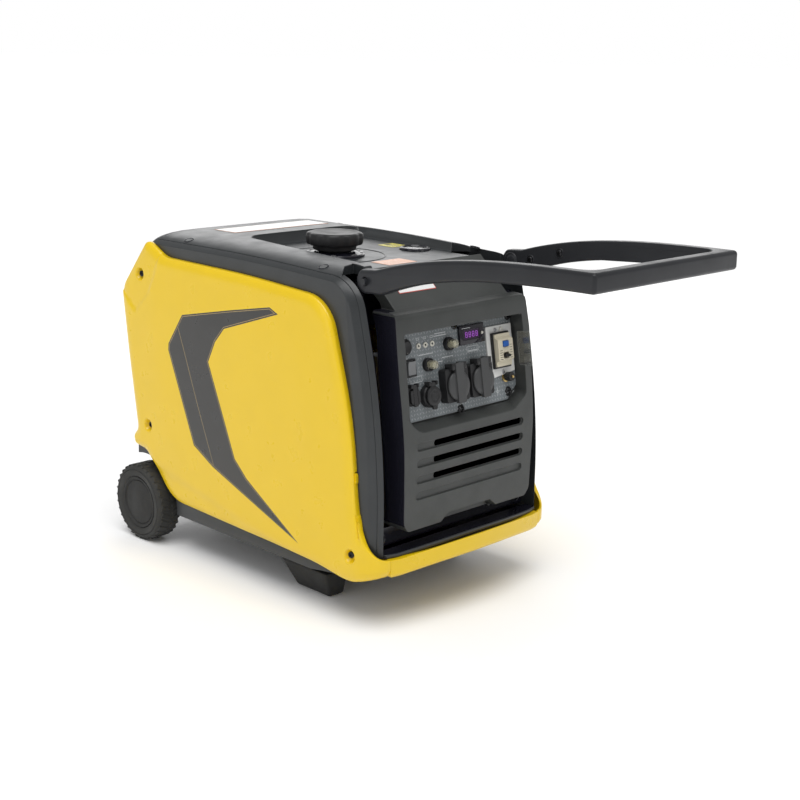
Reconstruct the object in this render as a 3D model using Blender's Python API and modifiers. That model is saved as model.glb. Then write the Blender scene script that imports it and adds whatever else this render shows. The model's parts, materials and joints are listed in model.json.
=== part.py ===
"""Inverter generator on two wheels, with a fold-down pull handle.

Metres, +Z up. X runs from left to right as seen by someone facing the control panel, the control panel
faces -Y and the wheels are at the +Y end. Most places are written as (x, back, up): "back" is the distance
behind the foot of the front panel and "up" is the height above the ground.
"""
import math

import bmesh
import bpy
from mathutils import Matrix, Vector

# --- driving dimensions -------------------------------------------------------------------------
FRONT = -0.156            # y of the foot of the front panel, so that the origin is the middle of the whole
GAP = 0.0004              # clearance between neighbouring pieces
WALL = 0.0030             # thickness of the plastic mouldings

GROUND_CLEARANCE = 0.0445
COVER_X = 0.1795          # half width of the top and rear mouldings
FRAME_X = 0.1890          # half width over the side frames
SIDE_X = 0.2053           # half width over the yellow side covers
BUMPER_X = 0.1686         # half width of the yellow front bumper
GROOVE_OUT = 0.1725       # half width of the groove that the handle folds into
GROOVE_IN = 0.1477
PANEL_X = 0.1470          # half width of the front panel
PANEL_FOOT = 0.1462
LIP_TOP = 0.1172
PAN_TOP = 0.0860
PAN_TAPER = 0.92          # width of the floor pan's underside over the width of its rim
FRAME_FOOT = 0.0600       # height of the side frames' lower edge

FOOT_TOP = ((0.112, 0.150), (0.162, 0.260))     # corners of a front foot under the pan: (x, back)
FOOT_BASE = ((0.116, 0.159), (0.146, 0.237))    # and on the ground

WHEEL_BACK = 0.581
WHEEL_RADIUS = 0.0668
WHEEL_OUT = 0.2115
WHEEL_WIDTH = 0.045
ARCH_RADIUS = 0.083

PIVOT_BACK = 0.063        # the handle's hinge line
PIVOT_UP = 0.5175
HANDLE_ROOT_X = 0.1705    # half width over the handle at its hinges
HANDLE_TIP_X = 0.163      # half width over the handle at its cross bar
ARM_WIDTH = 0.020
HANDLE_TIP = -0.336       # front face of the cross bar, as a "back" distance
BAR_DEPTH = 0.021

PLATE_LEAN = math.radians(10)
PLATE_BACK = 0.0230       # lower edge of the control plate
PLATE_UP = 0.3055
PLATE_X = 0.1320
PLATE_HEIGHT = 0.1385

CAP_X = -0.042
CAP_BACK = 0.268
CAP_RADIUS = 0.0455
CAP_UP = 0.5370
CAP_TOP = 0.5565
GAUGE_X = 0.105
GAUGE_BACK = 0.233
TRAY_FLOOR = 0.5195

# On the control plate, u runs to the right, v up the plate and w out towards the user.
SOCKET_V = 0.0440
SOCKET_U = (-0.0170, 0.0390)
HINGE_RISE = 0.0290       # the lid's hinge above the middle of its socket
LID_W = 0.0185
BREAKERS = ((-0.0150, 0.1050), (-0.0630, 0.0800))
START = (-0.1060, 0.1120)
DC_U, DC_V = -0.1050, 0.0400
ROUND_U, ROUND_V = -0.0690, 0.0340
RCD_LOW = (0.0800, 0.0550)
RCD_HIGH = (0.1150, 0.1060)
RCD_FACE = 0.0165
RCD_POCKET = 0.0085       # bottom of the pockets that the test button and the toggle stand in
COVER_W = 0.0245
COVER_WIDTH = 0.0330
COVER_OPEN = math.radians(75)

CRANK_BACK = 0.360
CRANK_UP = 0.200

SIDES = (("left", -1), ("right", 1))
SHARP = math.radians(35)  # edges that turn by more than this stay sharp


# --- scene, materials and small helpers ---------------------------------------------------------
def clear_scene():
    for thing in list(bpy.data.objects):
        bpy.data.objects.remove(thing, do_unlink=True)


def new_collection(name):
    group = bpy.data.collections.new(name)
    bpy.context.scene.collection.children.link(group)
    return group


def material(name, colour, roughness, metallic=0.0, alpha=1.0):
    mat = bpy.data.materials.new(name)
    mat.use_nodes = True
    shader = mat.node_tree.nodes["Principled BSDF"]
    shader.inputs["Base Color"].default_value = (*colour, 1.0)
    shader.inputs["Roughness"].default_value = roughness
    shader.inputs["Metallic"].default_value = metallic
    shader.inputs["Alpha"].default_value = alpha
    return mat


clear_scene()
PARTS = new_collection("inverter_generator")
CUTTERS = new_collection("cutters")

YELLOW = material("yellow_shell", (0.84, 0.56, 0.02), 0.35)
GREY = material("grey_shell", (0.060, 0.065, 0.065), 0.5)
PANEL_GREY = material("panel_grey", (0.075, 0.078, 0.070), 0.55)
BLACK = material("black_gloss", (0.010, 0.010, 0.016), 0.25)
SWITCH_BLACK = material("switch_black", (0.022, 0.022, 0.022), 0.45)
PLATE = material("control_plate", (0.19, 0.22, 0.24), 0.45, 0.3)
RUBBER = material("rubber", (0.025, 0.025, 0.024), 0.8)
ALUMINIUM = material("cast_aluminium", (0.50, 0.50, 0.50), 0.45, 1.0)
STEEL = material("steel", (0.42, 0.42, 0.42), 0.35, 1.0)
COPPER = material("copper_windings", (0.45, 0.20, 0.08), 0.4, 1.0)
BEIGE = material("beige_switchgear", (0.62, 0.58, 0.45), 0.4)
BLUE = material("blue_button", (0.03, 0.12, 0.45), 0.4)
CLEAR = material("clear_plastic", (0.75, 0.74, 0.60), 0.15, 0.0, 0.6)
SCREEN = material("display_glass", (0.015, 0.012, 0.02), 0.15)


def place(x, back, up):
    return Vector((x, FRONT + back, up))


def keep(name, mesh, mat, group=PARTS):
    """Link a mesh whose vertices are already in world coordinates."""
    mesh.name = name
    thing = bpy.data.objects.new(name, mesh)
    mesh.materials.clear()
    mesh.materials.append(mat)
    mesh.shade_smooth()
    mesh.set_sharp_from_angle(angle=SHARP)
    group.objects.link(thing)
    return thing


def from_bmesh(name, work, mat, group=PARTS):
    bmesh.ops.recalc_face_normals(work, faces=work.faces)
    if work.calc_volume(signed=True) < 0:
        bmesh.ops.reverse_faces(work, faces=work.faces)
    mesh = bpy.data.meshes.new(name)
    work.to_mesh(mesh)
    work.free()
    return keep(name, mesh, mat, group)


def bevel_edges(work, chosen, width, segments=2):
    bmesh.ops.bevel(work, geom=chosen, offset=width, segments=segments, affect="EDGES", profile=0.5,
                    clamp_overlap=True)


def box(name, low, high, mat, bevel=0.0, segments=1, group=PARTS, frame=None):
    """A box between two (x, back, up) corners, or between two corners in another frame."""
    work = bmesh.new()
    low, high = Vector(low), Vector(high)
    middle = (low + high) / 2
    size = high - low
    bmesh.ops.create_cube(work, size=1.0, matrix=Matrix.Diagonal((*size, 1.0)))
    if bevel:
        bevel_edges(work, list(work.edges), bevel, segments)
    where = Matrix.Translation(place(*middle)) if frame is None else frame @ Matrix.Translation(middle)
    work.transform(where)
    return from_bmesh(name, work, mat, group)


def turn_to(axis):
    return Vector((0, 0, 1)).rotation_difference(Vector(axis)).to_matrix().to_4x4()


def rod(name, centre, axis, radius, length, mat, sides=20, bevel=0.0, group=PARTS, frame=None):
    """A cylinder along an axis, centred on a point."""
    work = bmesh.new()
    bmesh.ops.create_cone(work, cap_ends=True, segments=sides, radius1=radius, radius2=radius, depth=length)
    if bevel:
        rims = [edge for edge in work.edges if abs(edge.verts[0].co.z - edge.verts[1].co.z) < 1e-7]
        bevel_edges(work, rims, bevel, 1)
    base = Matrix.Translation(place(*centre)) if frame is None else frame @ Matrix.Translation(Vector(centre))
    work.transform(base @ turn_to(axis))
    return from_bmesh(name, work, mat, group)


def turned(name, profile, centre, axis, mat, steps=24, group=PARTS, frame=None):
    """A turned piece: a closed (radius, height) profile spun about an axis with the Screw modifier."""
    mesh = bpy.data.meshes.new(name)
    points = [(radius, 0, height) for radius, height in profile]
    count = len(points)
    edges = [(i, (i + 1) % count) for i in range(count)]
    if profile[0][0] < 1e-6:
        edges = edges[:-1]
    mesh.from_pydata(points, edges, [])
    thing = bpy.data.objects.new(name, mesh)
    group.objects.link(thing)
    screw = thing.modifiers.new("turn", "SCREW")
    screw.steps = steps
    screw.render_steps = steps
    screw.use_merge_vertices = True
    screw.merge_threshold = 0.00001
    whole = bpy.data.meshes.new_from_object(thing.evaluated_get(bpy.context.evaluated_depsgraph_get()))
    bpy.data.objects.remove(thing, do_unlink=True)
    work = bmesh.new()
    work.from_mesh(whole)
    bmesh.ops.remove_doubles(work, verts=work.verts, dist=0.000005)
    base = Matrix.Translation(place(*centre)) if frame is None else frame @ Matrix.Translation(Vector(centre))
    work.transform(base @ turn_to(axis))
    return from_bmesh(name, work, mat, group)


# How a flat outline is stood up: the columns say where its own x, y and thickness point.
STAND = {
    "side": Matrix(((0, 0, 1), (1, 0, 0), (0, 1, 0))),     # outline (back, up), thickness along x
    "front": Matrix(((1, 0, 0), (0, 0, -1), (0, 1, 0))),   # outline (x, up), thickness towards the front
    "top": Matrix(((1, 0, 0), (0, 1, 0), (0, 0, 1))),      # outline (x, back), thickness along up
}


def slab(name, outline, facing, low, high, mat, bevel=0.0, group=PARTS, frame=None, rim=None, segments=2):
    """A flat outline given thickness from low to high. rim(a, b) picks edges to round by bevel."""
    if facing == "front":
        low, high = -high, -low
    curve = bpy.data.curves.new(name, "CURVE")
    curve.dimensions = "2D"
    curve.fill_mode = "BOTH"
    curve.extrude = (high - low) / 2
    line = curve.splines.new("POLY")
    line.points.add(len(outline) - 1)
    for point, (u, v) in zip(line.points, outline):
        point.co = (u, v, 0, 1)
    line.use_cyclic_u = True
    thing = bpy.data.objects.new(name, curve)
    group.objects.link(thing)
    mesh = bpy.data.meshes.new_from_object(thing.evaluated_get(bpy.context.evaluated_depsgraph_get()))
    bpy.data.objects.remove(thing, do_unlink=True)
    work = bmesh.new()
    work.from_mesh(mesh)
    bmesh.ops.remove_doubles(work, verts=work.verts, dist=0.000005)
    work.transform(Matrix.Translation((0, 0, (low + high) / 2)))
    if bevel:
        sharp = [edge for edge in work.edges if edge.calc_face_angle(0) > math.radians(50)]
        if rim:
            sharp = [edge for edge in sharp if rim(edge.verts[0].co, edge.verts[1].co)]
        bevel_edges(work, sharp, bevel, segments)
    work.transform(STAND[facing].to_4x4())
    work.transform(Matrix.Translation((0, FRONT, 0)) if frame is None else frame)
    return from_bmesh(name, work, mat, group)


def boolean(thing, tool, how, solver="EXACT"):
    if tool.name in PARTS.objects:
        PARTS.objects.unlink(tool)
        CUTTERS.objects.link(tool)
    tool.hide_render = True
    tool.display_type = "WIRE"
    step = thing.modifiers.new(how.lower() + "_" + tool.name, "BOOLEAN")
    step.operation = how
    step.solver = solver
    step.object = tool


def cut(thing, *tools):
    for tool in tools:
        boolean(thing, tool, "DIFFERENCE")


def join(thing, *tools):
    for tool in tools:
        boolean(thing, tool, "UNION")


def put_origin(thing, point):
    """Move an object's origin to a point on its joint's axis."""
    thing.data.transform(Matrix.Translation(-point))
    thing.location = point


# --- outlines -----------------------------------------------------------------------------------
def arc(middle, radius, start, end, steps):
    """Points of a circular arc, angles in degrees."""
    points = []
    for step in range(steps + 1):
        angle = math.radians(start + (end - start) * step / steps)
        points.append((middle[0] + radius * math.cos(angle), middle[1] + radius * math.sin(angle)))
    return points


def rounded(corners, steps=4):
    """A closed outline from (u, v, length) corners: each is rounded by an arc that starts and ends at that
    length from the corner. A length of 0 keeps the corner sharp."""
    outline = []
    count = len(corners)
    for i, (u, v, length) in enumerate(corners):
        corner = Vector((u, v))
        if not length:
            outline.append((u, v))
            continue
        before = (Vector(corners[i - 1][:2]) - corner).normalized()
        after = (Vector(corners[(i + 1) % count][:2]) - corner).normalized()
        half = before.angle(after) / 2
        radius = length * math.tan(half)
        centre = corner + (before + after).normalized() * (radius / math.sin(half))
        first = corner + before * length - centre
        turn = math.pi - 2 * half
        sign = 1 if before.x * after.y - before.y * after.x < 0 else -1
        for step in range(steps + 1):
            angle = sign * turn * step / steps
            spoke = Matrix.Rotation(angle, 2) @ first
            outline.append((centre.x + spoke.x, centre.y + spoke.y))
    return outline


def rectangle(u_low, v_low, u_high, v_high, length=0.0, steps=3):
    return rounded([(u_low, v_low, length), (u_high, v_low, length), (u_high, v_high, length),
                    (u_low, v_high, length)], steps)


def body_side(drop=0.0, foot=GROUND_CLEARANCE):
    """The body seen from the side, (back, up): from the foot of the front, over the top, to the wheel arch."""
    corners = [
        (0.009, foot, 0.012),
        (0.009, 0.306, 0.140),
        (0.066, 0.5295 - drop, 0.050),
        (0.300, 0.5380 - drop, 0.100),
        (0.556, 0.5360 - drop, 0.014),
        (0.628, 0.4470, 0.020),
        (0.624, 0.3000, 0.080),
        (0.6039, 0.1468, 0.0),
    ]
    arch_end = math.degrees(math.asin((foot - WHEEL_RADIUS) / ARCH_RADIUS))
    arch = arc((WHEEL_BACK, WHEEL_RADIUS), ARCH_RADIUS, 80, 180 - arch_end, 7)
    turning = rounded(corners + [(arch[0][0], arch[0][1], 0), (arch[-1][0], arch[-1][1], 0)])
    return turning[:-2] + arch


def front_edge(up):
    """How far back the front edge of the body is at a height, from its rounded outline."""
    side = body_side()
    for (back_a, up_a), (back_b, up_b) in zip(side, side[1:]):
        if up_a <= up <= up_b and back_a < 0.15:
            return back_a + (back_b - back_a) * (up - up_a) / max(up_b - up_a, 1e-9)
    raise ValueError(up)


# --- chassis and shell --------------------------------------------------------------------------
def pan_outline(inset=0.0):
    """The floor pan in plan: as wide as the body, and narrower between the wheels."""
    wide, narrow = COVER_X - inset, 0.158 - inset
    front, step, rear = 0.030 + inset, 0.486 - inset, 0.600 - inset
    return [(-wide, front), (wide, front), (wide, step), (narrow, step), (narrow, rear), (-narrow, rear),
            (-narrow, step), (-wide, step)]


def taper_down(thing):
    """Draw the underside of the pan, or of the room in it, in from the rim."""
    for vertex in thing.data.vertices:
        depth = min(max((PAN_TOP - vertex.co.z) / (PAN_TOP - GROUND_CLEARANCE), 0.0), 1.0)
        vertex.co.x *= 1 - (1 - PAN_TAPER) * depth


def base_pan():
    pan = slab("base_pan", pan_outline(), "top", GROUND_CLEARANCE, PAN_TOP, GREY, 0.004, segments=1)
    taper_down(pan)
    room = slab("pan_inside", pan_outline(WALL), "top", GROUND_CLEARANCE + WALL, PAN_TOP, GREY)
    taper_down(room)
    mouth = slab("pan_mouth", pan_outline(WALL), "top", PAN_TOP - WALL, PAN_TOP + WALL, GREY)
    cut(pan, room, mouth)
    cut(pan, rod("pan_axle_hole", (0, WHEEL_BACK, WHEEL_RADIUS), (1, 0, 0), 0.0086, 0.4, GREY, 16))


def front_feet():
    """Two moulded wedges, narrower on the ground than under the pan."""
    for side, sign in SIDES:
        work = bmesh.new()
        bmesh.ops.create_cube(work, size=1.0)
        for vertex in work.verts:
            low, high = FOOT_TOP if vertex.co.z > 0 else FOOT_BASE
            x = high[0] if vertex.co.x > 0 else low[0]
            back = high[1] if vertex.co.y > 0 else low[1]
            up = GROUND_CLEARANCE - GAP if vertex.co.z > 0 else 0.0
            vertex.co = place(sign * x, back, up)
        bmesh.ops.recalc_face_normals(work, faces=work.faces)
        bevel_edges(work, list(work.edges), 0.004, 2)
        from_bmesh("front_foot_" + side, work, RUBBER)


def edge_at(level):
    """Chooses the edges of a slab that lie at a distance from the plane its outline is drawn in."""
    def chosen(a, b):
        return abs(abs(a.z) - level) < 1e-5 and abs(abs(b.z) - level) < 1e-5
    return chosen


def side_frames():
    opening = rounded([
        (0.062, 0.100, 0.02), (0.071, 0.330, 0.06), (0.128, 0.473, 0.03), (0.530, 0.486, 0.02),
        (0.610, 0.415, 0.02), (0.598, 0.280, 0.04), (0.580, 0.200, 0.02), (0.490, 0.155, 0.03),
        (0.430, 0.100, 0.02)])
    for side, sign in SIDES:
        low, high = sorted((sign * (COVER_X + GAP), sign * FRAME_X))
        outline = body_side(0.003, FRAME_FOOT)
        frame = slab("side_frame_" + side, outline, "side", low, high, GREY, 0.0070, rim=edge_at(FRAME_X))
        cut(frame, slab("frame_opening_" + side, opening, "side", low - 0.01, high + 0.01, GREY))


def cover_outline():
    return rounded([
        (0.046, 0.150, 0.0), (0.055, 0.300, 0.080), (0.112, 0.4880, 0.045), (0.300, 0.4985, 0.0),
        (0.512, 0.5010, 0.012), (0.556, 0.5270, 0.006), (0.632, 0.4440, 0.012), (0.6165, 0.330, 0.040),
        (0.590, 0.196, 0.006), (0.604, 0.181, 0.004), (0.600, 0.166, 0.006), (0.5660, 0.162, 0.006),
        (0.500, 0.088, 0.030), (0.300, 0.0820, 0.0), (0.135, 0.0785, 0.030), (0.055, 0.0650, 0.010),
        (0.012, 0.0760, 0.010), (0.012, 0.1260, 0.010)], 3)


def side_covers():
    outline = cover_outline()
    inner = [tuple(point) for point in shrink(outline, 0.0032)]
    for side, sign in SIDES:
        low, high = sorted((sign * (FRAME_X + GAP), sign * SIDE_X))
        cover = slab("side_cover_" + side, outline, "side", low, high, YELLOW, 0.0075, rim=edge_at(SIDE_X))
        corner = [(BUMPER_X + GAP, 0.0085), (BUMPER_X + GAP, -0.0005), (0.1780, 0.0030), (0.1880, 0.0100),
                  (0.1945, 0.0190), (0.1945, 0.0300), (FRAME_X + 0.0008, 0.0300), (FRAME_X + 0.0008, 0.0085)]
        corner = [(sign * x, back) for x, back in corner]
        wrap = slab("cover_corner_" + side, corner, "top", 0.0700, 0.1110, YELLOW)
        boolean(cover, wrap, "UNION", "MANIFOLD")
        floor = SIDE_X - WALL
        low, high = sorted((sign * 0.180, sign * floor))
        cut(cover, slab("cover_inside_" + side, inner, "side", low, high, YELLOW, 0.0060, rim=edge_at(floor)))
        if sign > 0:
            window = rectangle(0.300, 0.215, 0.420, 0.265, 0.012)
            cut(cover, slab("grip_window", window, "side", 0.185, 0.215, YELLOW))


def shrink(outline, amount):
    """An outline moved inwards by an amount, corner by corner."""
    area = sum(a[0] * b[1] - b[0] * a[1] for a, b in zip(outline, outline[1:] + outline[:1]))
    inward = 1 if area > 0 else -1
    moved = []
    count = len(outline)
    for i, point in enumerate(outline):
        before = (Vector(point) - Vector(outline[i - 1])).normalized()
        after = (Vector(outline[(i + 1) % count]) - Vector(point)).normalized()
        normals = [Vector((-run.y, run.x)) * inward for run in (before, after)]
        middle = (normals[0] + normals[1]).normalized()
        moved.append(Vector(point) + middle * (amount / max(middle.dot(normals[0]), 0.5)))
    return moved


def lower_front(a, b):
    """Chooses the bumper's lower edge, but not its two rear corners."""
    return max(a.z, b.z) < 0.0695 and min(a.y, b.y) < 0.026


def front_bumper():
    bow = [(-BUMPER_X, -0.0005), (-0.120, -0.0095), (-0.060, -0.0165), (0, -0.0205), (0.060, -0.0165),
           (0.120, -0.0095), (BUMPER_X, -0.0005), (BUMPER_X, 0.0280), (-BUMPER_X, 0.0280)]
    slab("front_bumper", bow, "top", 0.0690, 0.1110, YELLOW, 0.020, rim=lower_front, segments=3)


def front_frame():
    """The grey surround of the handle groove: a wall on each side, joined by a thin lip at the foot."""
    side = body_side()
    edge = [point for point in side if 0.112 <= point[1] and point[0] <= 0.1040]
    outline = [(0.009, 0.1115)] + edge + [(0.1040, front_top(0.1040)), (0.1040, 0.470), (0.062, 0.430),
                                          (0.045, 0.290), (0.045, 0.1115)]
    frame = slab("front_frame", outline, "side", -COVER_X, COVER_X, GREY)
    cut(frame, box("groove_room", (-GROOVE_OUT, -0.05, LIP_TOP), (GROOVE_OUT, 0.15, 0.60), GREY))
    bow = [(-0.160, 0.020), (-0.150, 0.004), (-0.075, -0.008), (0, -0.012), (0.075, -0.008), (0.150, 0.004),
           (0.160, 0.020)]
    join(frame, slab("groove_lip", bow, "top", 0.1115, LIP_TOP, GREY))
    for name, sign in SIDES:
        hole = rod("pin_socket_" + name, (sign * 0.1735, PIVOT_BACK, PIVOT_UP), (1, 0, 0), 0.0054, 0.0070,
                   GREY, 16)
        cut(frame, hole)


def front_top(back):
    side = body_side()
    for (back_a, up_a), (back_b, up_b) in zip(side, side[1:]):
        if back_a <= back <= back_b and up_a > 0.40:
            return up_a + (up_b - up_a) * (back - back_a) / (back_b - back_a)
    raise ValueError(back)


def handle_channel():
    """The glossy black liner behind the folded handle: a U round the foot and sides of the front panel."""
    depth = 0.030
    levels = [0.1178, 0.180, 0.240, 0.300, 0.360, 0.420, 0.466]
    near = [(front_edge(up) + depth, up) for up in levels]
    far = [(back + WALL, up) for back, up in reversed(near)]
    liner = slab("handle_channel", near + far, "side", -GROOVE_OUT + GAP, GROOVE_OUT - GAP, BLACK)
    cut(liner, box("panel_room", (-GROOVE_IN, 0.0, PANEL_FOOT - GAP), (GROOVE_IN, 0.12, 0.60), BLACK))


def plate_frame():
    """Control plate coordinates: u to the right, v up the plate, w out towards the user."""
    out = Vector((0, -math.cos(PLATE_LEAN), math.sin(PLATE_LEAN)))
    up = Vector((0, math.sin(PLATE_LEAN), math.cos(PLATE_LEAN)))
    turn = Matrix((Vector((1, 0, 0)), up, out)).transposed().to_4x4()
    return Matrix.Translation(place(0, PLATE_BACK, PLATE_UP)) @ turn


# what is left free beside the panel for the folded handle, whose arms close in towards the foot: (x, up)
PANEL_FLANK = [(0.1275, 0.1400), (0.1275, PANEL_FOOT), (0.1380, 0.1507), (0.1425, 0.1610), (0.1440, 0.2200),
               (0.1453, 0.2700), (0.1471, 0.3850), (0.1700, 0.3850), (0.1700, 0.1400)]


def front_panel():
    face = [(-0.001, PANEL_FOOT), (-0.003, 0.200), (-0.0015, 0.275), (0.033, 0.4650), (0.040, 0.4725),
            (0.1040, 0.5260)]
    outline = face + [(0.1040, 0.500), (0.078, 0.478), (0.062, 0.440), (0.048, 0.290), (0.048, PANEL_FOOT)]
    panel = slab("front_panel", outline, "side", -PANEL_X, PANEL_X, PANEL_GREY)
    for name, sign in SIDES:
        low, high = sorted((sign * 0.124, sign * 0.160))
        cut(panel, box("hinge_room_" + name, (low, -0.02, 0.4712), (high, 0.12, 0.56), PANEL_GREY))
        flank = [(sign * x, up) for x, up in PANEL_FLANK]
        cut(panel, slab("panel_flank_" + name, flank[::sign], "front", -0.02, 0.12, PANEL_GREY))
    hollow = [(0.002, 0.168), (0.001, 0.200), (0.003, 0.275), (0.010, 0.2860), (0.034, 0.2900),
              (0.058, 0.4500), (0.058, 0.4600), (0.120, 0.4600), (0.120, 0.168)]
    cut(panel, slab("panel_inside", hollow, "side", -PANEL_X + 2 * WALL, PANEL_X - 2 * WALL, PANEL_GREY))
    frame = plate_frame()
    window = rectangle(-PLATE_X - 0.0010, -0.0030, PLATE_X + 0.0010, PLATE_HEIGHT + 0.001, 0.006)
    recess = slab("plate_recess", window, "top", -0.0034, 0.060, PANEL_GREY, frame=frame)
    cut(panel, recess)
    back_opening = rectangle(-0.126, 0.004, 0.126, 0.132, 0.010)
    cut(panel, slab("plate_back_opening", back_opening, "top", -0.050, 0.000, PANEL_GREY, frame=frame))
    notch = [(-0.057, 0.130), (0.057, 0.130), (0.057, 0.1475), (0.048, 0.1590), (-0.048, 0.1590),
             (-0.057, 0.1475)]
    cut(panel, slab("finger_notch", notch, "front", -0.02, 0.012, PANEL_GREY))
    for row in range(4):
        middle = 0.198 + 0.0253 * row
        slot = rectangle(-0.117, middle - 0.0052, 0.117, middle + 0.0052, 0.005, 2)
        cut(panel, slab("panel_slot_" + str(row + 1), slot, "front", -0.02, 0.020, PANEL_GREY))


def rear_cover():
    side = body_side(0.0)
    face = [point for point in side if point[0] > 0.5505 and 0.152 < point[1]]
    start = (0.5500, front_top(0.5500))
    outer = [start] + face + [(0.6039, 0.150), (0.6035, 0.0870)]
    inner = [(back - 0.0045, up - (0.004 if up > 0.50 else 0.0)) for back, up in reversed(outer)]
    cover = slab("rear_cover", outer + inner, "side", -COVER_X, COVER_X, GREY)
    for name, sign in SIDES:
        low, high = sorted((sign * 0.160, sign * 0.20))
        arch = rod("rear_arch_" + name, (sign * 0.180, WHEEL_BACK, WHEEL_RADIUS), (1, 0, 0), ARCH_RADIUS,
                   0.040, GREY, 32)
        cut(cover, arch)
    for row in range(5):
        middle = 0.215 + 0.026 * row
        slot = rectangle(0.000, middle - 0.0055, 0.130, middle + 0.0055, 0.005, 2)
        cut(cover, slab("rear_slot_" + str(row + 1), slot, "front", 0.58, 0.65, GREY))
    cut(cover, rod("outlet_hole", (-0.095, 0.620, 0.330), (0, 1, 0), 0.0250, 0.06, GREY, 24))


def top_cover():
    start, end = 0.1045, 0.5450
    side = body_side()
    crown = [point for point in side if start < point[0] < end and point[1] > 0.45]
    outline = [(start, front_top(start))] + crown + [(end, front_top(end)), (end, 0.510), (start, 0.502)]
    cover = slab("top_cover", outline, "side", -COVER_X, COVER_X, GREY)
    tray = rounded([(-0.118, 0.120, 0.02), (0.146, 0.120, 0.01), (0.146, 0.420, 0.03), (-0.098, 0.420, 0.03)])
    cut(cover, slab("tray_room", tray, "top", TRAY_FLOOR, 0.60, GREY))
    cut(cover, box("top_inside", (-0.1755, 0.109, 0.45), (0.1755, 0.541, 0.5157), GREY))
    for name, sign in SIDES:
        low, high = sorted((sign * 0.1465, sign * 0.1735))
        cut(cover, box("arm_pocket_" + name, (low, 0.090, TRAY_FLOOR), (high, 0.1352, 0.60), GREY))
    cut(cover, rod("neck_hole", (CAP_X, CAP_BACK, 0.52), (0, 0, 1), 0.0270, 0.06, GREY, 24))
    cut(cover, rod("gauge_hole", (GAUGE_X, GAUGE_BACK, 0.52), (0, 0, 1), 0.0230, 0.06, GREY, 24))


# --- handle -------------------------------------------------------------------------------------
def bezier(points, t):
    a, b, c, d = (Vector(point) for point in points)
    s = 1 - t
    return a * s ** 3 + b * 3 * s * s * t + c * 3 * s * t * t + d * t ** 3


def splay(back):
    """Half width over the arms at a distance behind the panel's foot: they close in towards the cross bar."""
    run = (PIVOT_BACK - back) / (PIVOT_BACK - HANDLE_TIP)
    return HANDLE_ROOT_X + (HANDLE_TIP_X - HANDLE_ROOT_X) * min(max(run, 0.0), 1.0)


def handle_bar():
    """Two bowed arms and a cross bar in one moulding, drawn out to the front, as one side outline."""
    spine = [(0.050, 0.5140), (-0.060, 0.5570), (-0.180, 0.5640), (HANDLE_TIP, 0.5660)]
    count = 9
    upper, lower = [], []
    for i in range(count + 1):
        t = i / count
        here = bezier(spine, t)
        ahead = bezier(spine, min(t + 0.01, 1.0)) - bezier(spine, max(t - 0.01, 0.0))
        across = Vector((-ahead.y, ahead.x)).normalized()
        across = across if across.y > 0 else -across
        half = 0.0137 + 0.0053 * (1 - t) ** 3
        upper.append(tuple(here + across * half))
        lower.append(tuple(here - across * half))
    root = arc((PIVOT_BACK, PIVOT_UP), 0.0155, 60, -110, 6)
    outline = list(reversed(upper[1:])) + root + lower[1:]
    bar = slab("handle_bar", outline, "side", -HANDLE_ROOT_X, HANDLE_ROOT_X, GREY, 0.004,
               rim=edge_at(HANDLE_ROOT_X))
    for vertex in bar.data.vertices:
        vertex.co.x *= splay(vertex.co.y - FRONT) / HANDLE_ROOT_X
    near = HANDLE_TIP + BAR_DEPTH
    between, far = splay(near) - ARM_WIDTH, HANDLE_ROOT_X - ARM_WIDTH
    room = rounded([(-between, near, 0.012), (between, near, 0.012), (far, PIVOT_BACK, 0), (far, 0.2, 0),
                    (-far, 0.2, 0), (-far, PIVOT_BACK, 0)], 3)
    cut(bar, slab("handle_room", room, "top", 0.40, 0.70, GREY))
    for name, sign in SIDES:
        cut(bar, rod("pin_hole_" + name, (sign * 0.160, PIVOT_BACK, PIVOT_UP), (1, 0, 0), 0.0054, 0.050,
                     GREY, 16))
    put_origin(bar, place(0, PIVOT_BACK, PIVOT_UP))


def handle_pins():
    """Headed pins from inside each arm into the side wall of the groove."""
    profile = [(0.0, 0.0), (0.0050, 0.0), (0.0050, 0.0262), (0.0100, 0.0264), (0.0100, 0.0280),
               (0.0070, 0.0295), (0.0, 0.0300)]
    for side, sign in SIDES:
        start = (sign * 0.1765, PIVOT_BACK, PIVOT_UP)
        turned("handle_pin_" + side, profile[::-1], start, (-sign, 0, 0), STEEL, 16)


# --- wheels -------------------------------------------------------------------------------------
def wheels():
    inner = WHEEL_OUT - WHEEL_WIDTH
    for side, sign in SIDES:
        tyre = [(0.0455, 0.002), (0.0455, WHEEL_WIDTH - 0.002), (0.0490, WHEEL_WIDTH), (0.0600, WHEEL_WIDTH),
                (0.0655, WHEEL_WIDTH - 0.005), (WHEEL_RADIUS, WHEEL_WIDTH - 0.012), (WHEEL_RADIUS, 0.012),
                (0.0655, 0.005), (0.0600, 0.0), (0.0490, 0.0)]
        hub = [(0.0086, 0.004), (0.0086, WHEEL_WIDTH - 0.004), (0.0200, WHEEL_WIDTH - 0.003),
               (0.0240, WHEEL_WIDTH - 0.010), (0.0400, WHEEL_WIDTH - 0.010), (0.0451, WHEEL_WIDTH - 0.004),
               (0.0451, 0.004), (0.0400, 0.010), (0.0240, 0.010), (0.0200, 0.003)]
        start = (sign * inner, WHEEL_BACK, WHEEL_RADIUS)
        centre = place(*start)
        ring = turned("tyre_" + side, tyre[::-1], start, (sign, 0, 0), RUBBER, 32)
        disc = turned("wheel_hub_" + side, hub[::-1], start, (sign, 0, 0), SWITCH_BLACK, 24)
        put_origin(ring, centre)
        put_origin(disc, centre)
    rod("axle", (0, WHEEL_BACK, WHEEL_RADIUS), (1, 0, 0), 0.0080, 0.416, STEEL, 16, 0.001)


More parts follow.
